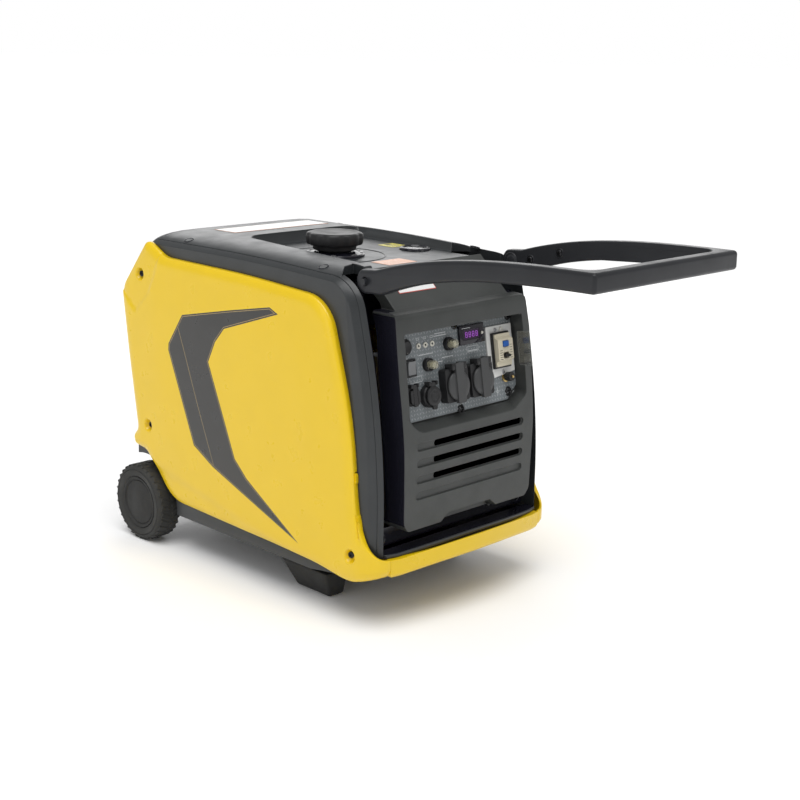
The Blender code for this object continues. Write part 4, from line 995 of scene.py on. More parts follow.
def tread_blocks(middle, width):
    """Two staggered rows of slanted blocks round a tyre."""
    blocks = []
    count = 32
    for i in range(count):
        for row, sign in enumerate((-1, 1)):
            angle = 2 * math.pi * (i + row / 2) / count
            turn = Matrix.Translation(middle) @ Matrix.Rotation(angle, 4, "X")
            turn = turn @ Matrix.Translation((sign * width * 0.235, 0, 0))
            turn = turn @ Matrix.Rotation(sign * math.radians(24), 4, "Z")
            low, high = (-width * 0.20, -0.0042, 0.0640), (width * 0.20, 0.0042, WHEEL_RADIUS)
            blocks.append(box(low, high, 0.0007, 1, turn))
    return together(*blocks)


def wheels():
    for side_name, sign in SIDES:
        low, high = (abs(corner.x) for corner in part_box("tyre_" + side_name))
        inner, outer = min(low, high), max(low, high)
        width = outer - inner
        start = (sign * inner, WHEEL_BACK, WHEEL_RADIUS)
        tyre = [(0.0455, 0.002), (0.0455, width - 0.003), (0.0475, width - 0.0012), (0.0500, width),
                (0.0560, width), (0.0575, width - 0.0012), (0.0590, width), (0.0615, width - 0.0008),
                (0.0645, width - 0.0040), (0.0660, width - 0.0075), (0.0660, 0.0075), (0.0645, 0.0040),
                (0.0600, 0.0), (0.0490, 0.0)]
        body = "wheel_" + side_name
        show("tyre_ring_" + side_name, turned(tyre[::-1], start, (sign, 0, 0), 96), TYRE, body,
             ["tyre_" + side_name])
        middle = place(sign * (inner + width / 2), WHEEL_BACK, WHEEL_RADIUS)
        show("tyre_tread_" + side_name, tread_blocks(middle, width), TYRE, body)
        cap = [(0.0, width - 0.0016), (0.0120, width - 0.0018), (0.0250, width - 0.0026),
               (0.0372, width - 0.0040), (0.0386, width - 0.0052), (0.0398, width - 0.0040),
               (0.0412, width - 0.0020), (0.0440, width - 0.0012), (0.0452, width - 0.0026),
               (0.0452, 0.0040), (0.0400, 0.0100), (0.0240, 0.0100), (0.0200, 0.0030), (0.0088, 0.0030),
               (0.0088, width - 0.0060), (0.0, width - 0.0060)]
        show("wheel_cap_" + side_name, turned(cap[::-1], start, (sign, 0, 0), 96), RUBBER, body,
             ["wheel_hub_" + side_name])


def on_top(x_low, x_high, back_low, back_high, lift, thick=0.0003):
    """A thin sheet that follows the crown of the top cover."""
    rings = []
    for step in range(13):
        x = x_low + (x_high - x_low) * step / 12
        ring = []
        for back, more in ((back_low, 0), (back_high, 0), (back_high, thick), (back_low, thick)):
            ring.append((x, back, top_edge(back) - body_depth(x, Vector((0, 1)), 0.53) + lift + more))
        rings.append(ring)
    return loft(rings)


def top_labels():
    """Blank panels where printed labels are stuck on the top."""
    show("rear_label_border", on_top(-0.0870, 0.1220, 0.4600, 0.5140, 0.0001), LABEL_ORANGE)
    show("rear_label", on_top(-0.0855, 0.1205, 0.4620, 0.5120, 0.0003), LABEL_WHITE)
    up = TRAY_FLOOR
    yellow = rectangle(0.0890, 0.2670, 0.1230, 0.3020, 0.001)
    show("yellow_label", slab(yellow, "top", up + 0.0001, up + 0.0004), LABEL_YELLOW)
    lines = [box((0.0930, 0.2720 + 0.0060 * i, up + 0.0004), (0.1190 - 0.004 * (i % 2), 0.2732 + 0.0060 * i,
                                                            up + 0.0005)) for i in range(3)]
    lines.append(box((0.1000, 0.2910, up + 0.0004), (0.1120, 0.2985, up + 0.0005)))
    show("yellow_label_lines", together(*lines), SWITCH_BLACK)
    orange = rectangle(-0.0480, 0.1360, 0.0130, 0.1760, 0.001)
    show("orange_label", slab(orange, "top", up + 0.0001, up + 0.0004), LABEL_ORANGE)
    stripes = [box((-0.0450, 0.1400 + 0.0070 * i, up + 0.0004), (-0.0060, 0.1410 + 0.0070 * i, up + 0.0005))
               for i in range(4)]
    show("orange_label_lines", together(*stripes), LABEL_WHITE)


def fuel_cap():
    """A lobed knob on a skirt, over a dark ring on the tray."""
    low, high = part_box("fuel_cap")[0].z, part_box("fuel_cap")[1].z
    radius = (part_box("fuel_cap")[1].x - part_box("fuel_cap")[0].x) / 2
    count = 128
    rings = []
    for up, scale, wave in (
            (low, 0.930, 0.9), (low + 0.0010, 0.965, 1.0), (low + 0.0035, 0.985, 1.0),
            (high - 0.0060, 1.0, 1.0), (high - 0.0030, 0.985, 1.0), (high - 0.0012, 0.950, 0.9),
            (high - 0.0002, 0.890, 0.6), (high, 0.830, 0.25), (high - 0.0006, 0.74, 0.0),
            (high - 0.0016, 0.45, 0.0), (high - 0.0018, 0.10, 0.0)):
        ring = []
        for i in range(count):
            angle = 2 * math.pi * i / count
            dip = (0.5 - 0.5 * math.cos(8 * angle)) ** 2.5
            reach = radius * scale * (1 - 0.060 * wave * dip)
            ring.append((CAP_X + reach * math.cos(angle), CAP_BACK + reach * math.sin(angle), up))
        rings.append(ring)
    knob = loft(rings)
    knob = cut(knob, rod((CAP_X, CAP_BACK, low + 0.0040), (0, 0, 1), 0.0260, 0.0160, 48))
    show("fuel_cap_knob", knob, SWITCH_BLACK, "cap_knob", ["fuel_cap"], soften=0.0005, angle=45)
    skirt = [(0.0268, low - 0.0080), (0.0268, low + 0.002), (0.0345, low + 0.002), (0.0345, low - 0.0070),
             (0.0335, low - 0.0080)]
    show("fuel_cap_skirt", turned(skirt, (CAP_X, CAP_BACK, 0), (0, 0, 1), 64), SWITCH_BLACK, "cap_knob")
    base = [(0.0272, -0.0020), (0.0272, 0.0062), (0.0300, 0.0070), (0.0360, 0.0066), (0.0385, 0.0050),
            (0.0460, 0.0046), (0.0480, 0.0030), (0.0484, -0.0020)]
    show("filler_ring", turned(base[::-1], (CAP_X, CAP_BACK, TRAY_FLOOR), (0, 0, 1), 72), BLACK)
    tabs = []
    middle = Matrix.Translation(place(CAP_X, CAP_BACK, TRAY_FLOOR))
    for i in range(8):
        spin = middle @ Matrix.Rotation(math.pi * i / 4, 4, "Z")
        tabs.append(box((0.0400, -0.0040, 0.0042), (0.0455, 0.0040, 0.0056), 0.0006, 2, spin))
    show("filler_tabs", together(*tabs), STEEL)


def fuel_gauge():
    where = (GAUGE_X, GAUGE_BACK, TRAY_FLOOR)
    bezel = [(0.0200, -0.0040), (0.0200, 0.0026), (0.0215, 0.0040), (0.0240, 0.0038), (0.0256, 0.0026),
             (0.0262, 0.0004), (0.0222, 0.0004), (0.0222, -0.0040)]
    show("gauge_bezel", turned(bezel[::-1], where, (0, 0, 1), 64), BLACK, replaces=["fuel_gauge"])
    dial = rod((GAUGE_X, GAUGE_BACK, TRAY_FLOOR - 0.0015), (0, 0, 1), 0.0199, 0.0030, 64)
    show("gauge_dial", dial, SWITCH_GREY)
    turn = Matrix.Translation(place(*where)) @ Matrix.Rotation(math.radians(35), 4, "Z")
    marks = [box((-0.0010, -0.004, 0.0002), (0.0010, 0.0130, 0.0006), turn=turn)]
    for i in range(7):
        spin = Matrix.Translation(place(*where)) @ Matrix.Rotation(math.radians(-60 + 20 * i), 4, "Z")
        marks.append(box((-0.0004, 0.0150, 0.0001), (0.0004, 0.0180, 0.0004), turn=spin))
    show("gauge_marks", together(*marks), MARK_WHITE)
    lens = [(0.0, 0.0034), (0.0120, 0.0031), (0.0199, 0.0022), (0.0199, 0.0012), (0.0, 0.0018)]
    show("gauge_lens", turned(lens, where, (0, 0, 1), 64), SMOKY)


# --- front --------------------------------------------------------------------------------------------
PIVOT = (0.063, 0.5175)   # the handle's hinge line: back, up
HANDLE_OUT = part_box("handle_bar")[1].x
HANDLE_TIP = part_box("handle_bar")[0].y - FRONT
HANDLE_TIP_OUT = 0.163    # half width over the cross bar
ARM_WIDTH = 0.020
BAR_DEPTH = 0.021
PANEL_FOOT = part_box("front_panel")[0].z
PLATE_LEAN = math.radians(10)
PLATE_OUT = Vector((0, -math.cos(PLATE_LEAN), math.sin(PLATE_LEAN)))
PLATE_RISE = Vector((0, math.sin(PLATE_LEAN), math.cos(PLATE_LEAN)))
PLATE_TURN = Matrix.Translation(place(0, 0.0230, 0.3055)) @ Matrix(
    (Vector((1, 0, 0)), PLATE_RISE, PLATE_OUT)).transposed().to_4x4()
FACE_OUT = 0.0220         # the walls of the plate's recess slope outwards up to this height over the plate
ACROSS = Matrix(((0, 0, 1, 0), (1, 0, 0, 0), (0, 1, 0, 0), (0, 0, 0, 1)))   # a profile seen along the plate
PRINT = 0.00015           # thickness of what is printed on the plate
PLATE_SCREWS = ((0.0032, 0.1325), (0.1265, 0.1315), (0.0, 0.0025), (0.1120, 0.0125), (-0.1230, 0.0110))


def loft(loops, turn=HOME):
    """A closed solid through loops of (u, v, w) points, all with the same number of points."""
    work = bmesh.new()
    rows = [[work.verts.new(point) for point in loop] for loop in loops]
    for near, far in zip(rows, rows[1:]):
        for i in range(len(near)):
            j = (i + 1) % len(near)
            work.faces.new((near[i], near[j], far[j], far[i]))
    work.faces.new(rows[0])
    work.faces.new(rows[-1])
    work.transform(turn)
    return to_mesh(work)


def screw(centre, axis, radius, turn=HOME):
    """A pan-head screw with a cross in it."""
    height = radius * 0.55
    head = turned([(0, 0), (radius, 0), (radius, height * 0.45), (radius * 0.78, height * 0.85),
                   (radius * 0.4, height), (0, height)][::-1], centre, axis, 28, turn)
    spin = turn @ Matrix.Translation(Vector(centre)) @ turn_to(axis)
    arm, slot = radius * 0.52, radius * 0.12
    cross = [box((-arm, -slot, height * 0.45), (arm, slot, height * 1.5), turn=spin),
             box((-slot, -arm, height * 0.45), (slot, arm, height * 1.5), turn=spin)]
    return cut(head, *cross)


def handle_channel():
    """The glossy black liner of the groove that the handle folds into."""
    depth = 0.030
    levels = [0.1178 + 0.3482 * i / 28 for i in range(29)]
    near = [(front_edge(up) + depth, up) for up in levels]
    far = [(back + 0.003, up) for back, up in reversed(near)]
    liner = slab(near + far, "side", -GROOVE_OUT + GAP, GROOVE_OUT - GAP)
    liner = cut(liner, box((-GROOVE_IN, 0.0, PANEL_FOOT - GAP), (GROOVE_IN, 0.12, 0.60)))
    show("groove_liner", liner, BLACK, replaces=["handle_channel"])
    for side, sign in SIDES:
        x, up = sign * 0.1540, 0.1310
        back = front_edge(up) + 0.0298
        show("groove_screw_" + side, screw((x, back, up), (0, -1, 0), 0.0052), BOLT_BLACK)
        show("groove_boss_" + side, turned([(0.0058, 0), (0.0058, 0.0035), (0.0070, 0.0040), (0.0085, 0.0035),
                                            (0.0095, 0)][::-1], (x, back, up), (0, -1, 0), 32), BLACK)


def panel_half_width(up):
    """The front panel is widest at its middle height."""
    levels = ((0.15, 0.1425), (0.22, 0.1440), (0.27, 0.1453), (0.385, 0.1470), (0.43, 0.1470), (0.47, 0.1435))
    return float(np.interp(up, [level for level, _ in levels], [half for _, half in levels]))


def front_panel():
    face = [(0.0005, PANEL_FOOT), (0.0, 0.160), (-0.0005, 0.210), (-0.0010, 0.245), (-0.0005, 0.275),
            (0.0015, 0.300), (0.0055, 0.335), (0.0105, 0.3710), (0.0165, 0.4200), (0.0235, 0.4600),
            (0.0250, 0.4650), (0.0285, 0.4690), (0.0340, 0.4704), (0.0450, 0.4712), (0.0485, 0.4740),
            (0.1040, 0.5258)]
    outline = face + [(0.1040, 0.500), (0.078, 0.478), (0.062, 0.440), (0.048, 0.290), (0.048, PANEL_FOOT)]
    panel = slab(outline, "side", -PANEL_OUT, PANEL_OUT)
    front = rounded([(-PANEL_OUT, PANEL_FOOT, 0.018), (PANEL_OUT, PANEL_FOOT, 0.018),
                     (PANEL_OUT, 0.4712, 0.006), (0.124, 0.4712, 0), (0.124, 0.60, 0), (-0.124, 0.60, 0),
                     (-0.124, 0.4712, 0), (-PANEL_OUT, 0.4712, 0.006)])
    panel = combine(panel, "INTERSECT", [slab(front, "front", -0.05, 0.15)])
    hollow = [(0.0065, 0.160), (0.0060, 0.200), (0.0065, 0.2700), (0.0120, 0.2800), (0.034, 0.2850),
              (0.058, 0.4500), (0.058, 0.4600), (0.120, 0.4600), (0.120, 0.160)]
    panel = cut(panel, slab(hollow, "side", -0.134, 0.134))
    inner = rounded([(-0.1325, 0.1395, 0.004), (-0.1325, 0.0080, 0.004), (-0.1225, -0.0025, 0.004),
                     (0.1100, -0.0025, 0.004), (0.1327, 0.0110, 0.004), (0.1327, 0.1395, 0.004)], 6)
    outer = rounded([(-0.1300, 0.1330, 0.004), (-0.1308, 0.0025, 0.009), (-0.1060, -0.0165, 0.010),
                     (0.1010, -0.0165, 0.010), (0.1312, 0.0040, 0.010), (0.1312, 0.1330, 0.004)], 6)
    recess = loft([[(u, v, -0.0034) for u, v in inner], [(u, v, 0.0006) for u, v in inner],
                   [(u, v, FACE_OUT) for u, v in outer], [(u, v, 0.060) for u, v in outer]], PLATE_TURN)
    panel = cut(panel, recess)
    opening = rectangle(-0.126, 0.004, 0.126, 0.132, 0.010)
    panel = cut(panel, slab(opening, "top", -0.050, 0.000, turn=PLATE_TURN))
    notch = loft([[(x * grow, back, up + lift) for x, up in
                   ((-0.066, 0.1300), (0.066, 0.1300), (0.066, 0.1465), (0.0500, 0.1585), (-0.0500, 0.1585),
                    (-0.066, 0.1465))] for back, grow, lift in ((-0.02, 1.06, 0.004), (0.012, 0.90, -0.003))])
    panel = cut(panel, notch)
    for row in range(4):
        middle = 0.1985 + 0.0250 * row
        groove = rectangle(-0.1190, middle - 0.0058, 0.1210, middle + 0.0058, 0.0054, 6)
        panel = cut(panel, slab(groove, "front", -0.02, 0.0032))
        if row:
            slot = rectangle(-0.0785, middle - 0.0044, 0.1195, middle + 0.0044, 0.0042, 6)
            panel = cut(panel, slab(slot, "front", -0.02, 0.020))
    for vertex in panel.vertices:
        room = PANEL_OUT - panel_half_width(vertex.co.z)
        vertex.co.x -= math.copysign(room * float(smooth((abs(vertex.co.x) - 0.128) / 0.016)), vertex.co.x)
    panel.update()
    for polygon in panel.polygons:
        sideways = abs(polygon.normal.x) > 0.9 and abs(polygon.center.x) > 0.140
        shoulder = polygon.normal.z > 0.7 and polygon.center.z > 0.467 and abs(polygon.center.x) > 0.1235
        polygon.material_index = 1 if sideways or shoulder else 0
    show("front_panel_moulding", panel, [PANEL_GREY, BLACK], replaces=["front_panel"], soften=0.0011,
         segments=3)
    slats = []
    for row in range(7):
        up = 0.1985 + 0.0125 * row
        slats.append(box((-0.112, 0.0070, up - 0.0009), (0.122, 0.0160, up + 0.0009)))
    show("louvre_slats", together(*slats), PANEL_GREY)
    grille = box((-0.120, 0.0160, 0.168), (0.124, 0.0175, 0.276))
    show("louvre_backing", grille, GREY)
    for side, sign in SIDES:
        show("notch_screw_" + side, screw((sign * 0.0540, 0.0085, 0.1475), (0, -1, 0.1), 0.0032), BOLT_BLACK)
    turn = Matrix.Translation(place(0, 0.0700, 0.4941)) @ Matrix.Rotation(math.radians(43.0), 4, "X")
    label = rectangle(-0.094, -0.0040, -0.018, 0.0040, 0.0008)
    show("front_label", slab(label, "top", 0.0003, 0.0006, turn=turn), LABEL_WHITE)
    border = rectangle(-0.0952, -0.0052, -0.0168, 0.0052, 0.001)
    show("front_label_border", slab(border, "top", 0.0001, 0.0004, turn=turn), LABEL_RED)


def bezier(points, t):
    a, b, c, d = (Vector(point) for point in points)
    s = 1 - t
    return a * s ** 3 + b * 3 * s * s * t + c * 3 * s * t * t + d * t ** 3


def handle_outline(steps=26):
    """Two bowed arms and a cross bar seen from the side: (back, up)."""
    spine = [(0.050, 0.5140), (-0.060, 0.5570), (-0.180, 0.5640), (HANDLE_TIP, 0.5660)]
    upper, lower = [], []
    for i in range(steps + 1):
        t = i / steps
        here = bezier(spine, t)
        ahead = bezier(spine, min(t + 0.01, 1.0)) - bezier(spine, max(t - 0.01, 0.0))
        across = Vector((-ahead.y, ahead.x)).normalized()
        across = across if across.y > 0 else -across
        half = 0.0137 + 0.0053 * (1 - t) ** 3
        upper.append(tuple(here + across * half))
        lower.append(tuple(here - across * half))
    root = arc(PIVOT, 0.0185, 60, -110, 16)
    return list(reversed(upper[1:])) + root + lower[1:]


def splay(back):
    """Half width over the arms at a distance behind the panel's foot: they close in towards the cross bar."""
    run = (PIVOT[0] - back) / (PIVOT[0] - HANDLE_TIP)
    return HANDLE_OUT + (HANDLE_TIP_OUT - HANDLE_OUT) * min(max(run, 0.0), 1.0)


def handle_corners(a, b):
    """Chooses the outer edges of the arms and the front edges of the cross bar."""
    arms = abs(abs(a.z) - HANDLE_OUT) < 1e-5 and abs(abs(b.z) - HANDLE_OUT) < 1e-5
    return arms or (a.x < HANDLE_TIP + 0.001 and b.x < HANDLE_TIP + 0.001)


def handle_bar():
    bar = slab(handle_outline(), "side", -HANDLE_OUT, HANDLE_OUT, 0.0058, rim=handle_corners, segments=6)
    for vertex in bar.vertices:
        vertex.co.x *= splay(vertex.co.y - FRONT) / HANDLE_OUT
    near = HANDLE_TIP + BAR_DEPTH
    between, far = splay(near) - ARM_WIDTH, HANDLE_OUT - ARM_WIDTH
    room = rounded([(-between, near, 0.022), (between, near, 0.022), (far, PIVOT[0], 0), (far, 0.2, 0),
                    (-far, 0.2, 0), (-far, PIVOT[0], 0)], 12)
    bar = cut(bar, slab(room, "top", 0.40, 0.70))
    holes = [rod((sign * 0.160, *PIVOT), (1, 0, 0), 0.0054, 0.050, 24) for _, sign in SIDES]
    bar = cut(bar, *holes)
    show("handle_moulding", bar, HANDLE_GREY, "handle", ["handle_bar"], soften=0.0026, segments=4, angle=38)
    for side_name, sign in SIDES:
        for number, (back, up) in enumerate(((0.023, 0.5235), (-0.035, 0.5410))):
            inner = sign * (splay(back) - ARM_WIDTH)
            show("handle_screw_{}_{}".format(side_name, number + 1),
                 screw((inner, back, up), (-sign, 0, 0), 0.0050), BOLT_BLACK, "handle")
            ring = [(0.0062, 0.0), (0.0062, 0.0012), (0.0072, 0.0012), (0.0078, 0.0)]
            show("handle_screw_ring_{}_{}".format(side_name, number + 1),
                 turned(ring[::-1], (inner, back, up), (-sign, 0, 0), 32), HANDLE_GREY, "handle")
        boss = [(0.0058, 0.0), (0.0058, 0.0020), (0.0120, 0.0020), (0.0132, 0.0008), (0.0132, 0.0)]
        boss = turned(boss[::-1], (sign * far, *PIVOT), (-sign, 0, 0), 40)
        show("handle_boss_" + side_name, boss, HANDLE_GREY, "handle", soften=0.0003)
        liner = [(-0.071, 0.5365), (-0.071, 0.5630), (-0.300, 0.5710), (-0.300, 0.5535)]
        liner = slab(liner, "side", 0, 0.0006)
        for vertex in liner.vertices:
            thick = vertex.co.x
            vertex.co.x = sign * (splay(vertex.co.y - FRONT) - ARM_WIDTH - thick)
        if sign > 0:
            liner.flip_normals()
        show("handle_liner_" + side_name, liner, HANDLE_GREY, "handle", soften=0.0003)


def ring_profile(inner, outer, low, high, round_off=0.0005):
    return [(inner, low), (inner, high - round_off), (inner + round_off, high), (outer - round_off, high),
            (outer, high - round_off), (outer, low)][::-1]


def plate_box(name, low, high, mat, bevel=0.0004, body="chassis", replaces=()):
    return show(name, box(low, high, bevel, 2, PLATE_TURN), mat, body, replaces)


def plate_turned(name, profile, u, v, mat, body="chassis", replaces=(), w=0.0, steps=40):
    return show(name, turned(profile, (u, v, w), (0, 0, 1), steps, PLATE_TURN), mat, body, replaces)


def printed(u_low, v_low, u_high, v_high):
    """A rectangle of print on the plate."""
    return box((u_low, v_low, 0.0), (u_high, v_high, PRINT), turn=PLATE_TURN)


def control_plate():
    outline = rounded([(-0.1320, 0.012, 0.001), (-0.1220, 0.0, 0.001), (0.108, 0.0, 0.001),
                       (0.120, 0.012, 0.001), (0.1320, 0.020, 0.001), (0.1320, 0.1385, 0.002),
                       (-0.1320, 0.1385, 0.002)], 3)
    plate = slab(outline, "top", -0.0028, 0.0, turn=PLATE_TURN)
    holes = [rod((u, v, 0), (0, 0, 1), 0.0078, 0.02, 36, turn=PLATE_TURN) for u, v in PLATE_SCREWS]
    plate = cut(plate, *holes)
    plate = cut(plate, rod((-0.0690, 0.0340, 0), (0, 0, 1), 0.0130, 0.02, 36, turn=PLATE_TURN))
    show("control_plate_face", plate, PLATE, replaces=["control_plate"], soften=0.0003, segments=2)
    for number, (u, v) in enumerate(PLATE_SCREWS):
        name = str(number + 1)
        cup = [(0.0042, -0.0030), (0.0042, 0.0012), (0.0050, 0.0020), (0.0066, 0.0012), (0.0074, -0.0030)]
        plate_turned("plate_screw_cup_" + name, cup[::-1], u, v, SWITCH_BLACK)
        show("plate_screw_" + name, screw((u, v, -0.0016), (0, 0, 1), 0.0038, PLATE_TURN), BOLT_BLACK)
    labels = []
    for u, v, wide in ((-0.1110, 0.1240, 0.016), (-0.1110, 0.0945, 0.016), (-0.0640, 0.0960, 0.030),
                       (-0.0300, 0.1200, 0.028), (-0.0300, 0.1235, 0.024), (-0.0180, 0.0860, 0.024),
                       (0.0390, 0.0880, 0.022), (-0.0350, 0.0810, 0.010)):
        labels.append(printed(u - wide / 2, v - 0.0006, u + wide / 2, v + 0.0006))
    for u, v, wide, high in ((0.0390, 0.0905, 0.026, 0.0085), (-0.0900, 0.0615, 0.026, 0.0090)):
        labels += frame_lines(u, v, wide, high, 0.0006)
    for i in range(3):
        labels += frame_lines(-0.0783 + 0.0146 * i, 0.1205, 0.0058, 0.0036, 0.0006)
    show("plate_lozenges", tread_pattern(), PLATE_LIGHT)
    show("plate_markings", together(*labels), MARK_WHITE)
    earth = [printed(0.0865 - 0.0035 * (1 - i / 3), 0.0160 - 0.0022 * i,
                     0.0865 + 0.0035 * (1 - i / 3), 0.0168 - 0.0022 * i) for i in range(3)]
    earth.append(printed(0.0861, 0.0160, 0.0869, 0.0215))
    show("earth_mark", together(*earth), MARK_WHITE)


def tread_pattern():
    """The plate's raised lozenges, laid alternately this way and that."""
    work = bmesh.new()
    pitch, long, short = 0.0062, 0.0030, 0.0009
    for row in range(22):
        for column in range(41):
            u = -0.1250 + pitch * column
            v = 0.0040 + pitch * row
            if row == 0 and (column < 3 or column > 37):
                continue
            lean = math.radians(45 if (row + column) % 2 else -45)
            ends = []
            for along, aside in ((long, 0), (0, short), (-long, 0), (0, -short)):
                corner = Vector((u + along * math.cos(lean) - aside * math.sin(lean),
                                 v + along * math.sin(lean) + aside * math.cos(lean), 0.0002))
                ends.append(work.verts.new(PLATE_TURN @ corner))
            peak = work.verts.new(PLATE_TURN @ Vector((u, v, 0.0005)))
            for i in range(4):
                work.faces.new((ends[i], ends[(i + 1) % 4], peak))
            work.faces.new(ends[::-1])
    return finished(work)


def frame_lines(u, v, wide, high, line):
    """A thin rectangular outline printed on the plate."""
    sides = ((u - wide / 2, v - high / 2, u + wide / 2, v - high / 2 + line),
             (u - wide / 2, v + high / 2 - line, u + wide / 2, v + high / 2),
             (u - wide / 2, v - high / 2, u - wide / 2 + line, v + high / 2),
             (u + wide / 2 - line, v - high / 2, u + wide / 2, v + high / 2))
    return [printed(*side) for side in sides]


def buttons():
    for number, (u, v) in enumerate(((-0.0150, 0.1050), (-0.0630, 0.0800))):
        name = str(number + 1)
        collar = [(0.0074, 0.0), (0.0074, 0.0066), (0.0080, 0.0072), (0.0094, 0.0072), (0.0101, 0.0064),
                  (0.0104, 0.0)]
        plate_turned("breaker_collar_" + name, collar[::-1], u, v, SWITCH_BLACK)
        cap = [(0.0, 0.0186), (0.0045, 0.0185), (0.0060, 0.0178), (0.0068, 0.0160), (0.0068, -0.0050),
               (0.0058, -0.0050), (0.0058, 0.0156), (0.0050, 0.0168), (0.0, 0.0172)]
        plate_turned("breaker_cap_" + name, cap, u, v, CLEAR, "breaker_button_" + name,
                     ["reset_breaker_" + name])
        pin = [(0.0, 0.0150), (0.0030, 0.0150), (0.0036, 0.0144), (0.0036, 0.0110), (0.0052, 0.0106),
               (0.0052, -0.0040), (0.0, -0.0040)]
        plate_turned("breaker_pin_" + name, pin, u, v, IVORY, "breaker_button_" + name)
    bezel = ring_profile(0.0102, 0.0122, 0.0, 0.0026)
    plate_turned("start_bezel", bezel, -0.1060, 0.1120, SWITCH_BLACK)
    button = [(0.0, 0.0052), (0.0050, 0.0056), (0.0080, 0.0060), (0.0092, 0.0054), (0.0098, 0.0044),
              (0.0098, -0.0060), (0.0, -0.0060)]
    plate_turned("start_button_cap", button, -0.1060, 0.1120, SWITCH_BLACK, "start_push", ["start_button"])
    frame_body = cut(box((-0.1115, 0.0665, 0.0), (-0.0895, 0.0935, 0.0036), 0.0010, 2, PLATE_TURN),
                     box((-0.1090, 0.0690, -0.01), (-0.0920, 0.0910, 0.01), turn=PLATE_TURN))
    show("rocker_bezel", frame_body, SWITCH_BLACK)
    profile = [(-0.0100, -0.0022), (0.0100, -0.0022), (0.0100, 0.0030), (0.0060, 0.0020), (0.0, 0.0012),
               (-0.0060, 0.0008), (-0.0100, 0.0006)]
    turn = PLATE_TURN @ Matrix.Translation((-0.1005, 0.0800, 0.0043)) @ ACROSS
    rocker = slab(profile, "top", -0.0078, 0.0078, turn=turn)
    show("rocker_face", rocker, ROCKER_GREY, "economy_switch", ["eco_rocker"], soften=0.0004)
    for i in range(3):
        u = -0.0783 + 0.0146 * i
        name = str(i + 1)
        plate_turned("light_ring_" + name, ring_profile(0.0019, 0.0043, 0.0, 0.0018, 0.0004), u, 0.1100,
                     IVORY, replaces=["indicator_lights"] if i == 0 else ())
        plate_turned("light_lens_" + name, [(0.0, 0.0014), (0.0012, 0.0011), (0.0016, 0.0), (0.0, 0.0)], u,
                     0.1100, SWITCH_BLACK)


DIGIT_BARS = ((0, 1, 1, 0), (0, 0, 1, 0), (0, -1, 1, 0), (-1, 0.5, 0, 1), (1, 0.5, 0, 1), (-1, -0.5, 0, 1),
              (1, -0.5, 0, 1))


def display():
    case = cut(box((0.0085, 0.0985, 0.0004), (0.0645, 0.1280, 0.0045), 0.0010, 2, PLATE_TURN),
               box((0.0180, 0.1060, 0.0036), (0.0530, 0.1205, 0.01), turn=PLATE_TURN))
    show("display_case", case, SCREEN, replaces=["display_module"], soften=0.0003)
    plate_box("display_window", (0.0181, 0.1061, 0.0030), (0.0529, 0.1204, 0.0038), WINDOW_PURPLE, 0.0)
    bars = []
    for digit in range(4):
        middle = 0.0240 + 0.0077 * digit
        for across, level, flat, tall in DIGIT_BARS:
            u, v = middle + across * 0.0020, 0.1132 + level * 0.0038
            half_u = 0.0017 if flat else 0.0004
            half_v = 0.0016 if tall else 0.0004
            low, high = (u - half_u, v - half_v, 0.0038), (u + half_u, v + half_v, 0.0040)
            bars.append(box(low, high, turn=PLATE_TURN))
    show("display_digits", together(*bars), GLOW_PURPLE)
    plate_turned("display_button", [(0.0, 0.0064), (0.0016, 0.0062), (0.0023, 0.0054), (0.0023, 0.0040),
                                    (0.0, 0.0040)], 0.0585, 0.1130, IVORY)
    plate_box("display_label", (0.0140, 0.1232, 0.0045), (0.0330, 0.1239, 0.0047), MARK_WHITE, 0.0)


def hinge_ears(u, apart, half, rise, out, bevel):
    """The two ears that a lid hangs between: rise and out are how far they reach up and out of the plate."""
    ears = []
    for _, sign in SIDES:
        middle = u + sign * apart
        low, high = (middle - half, rise[0], out[0]), (middle + half, rise[1], out[1])
        ears.append(box(low, high, bevel, 2, PLATE_TURN))
    return together(*ears)


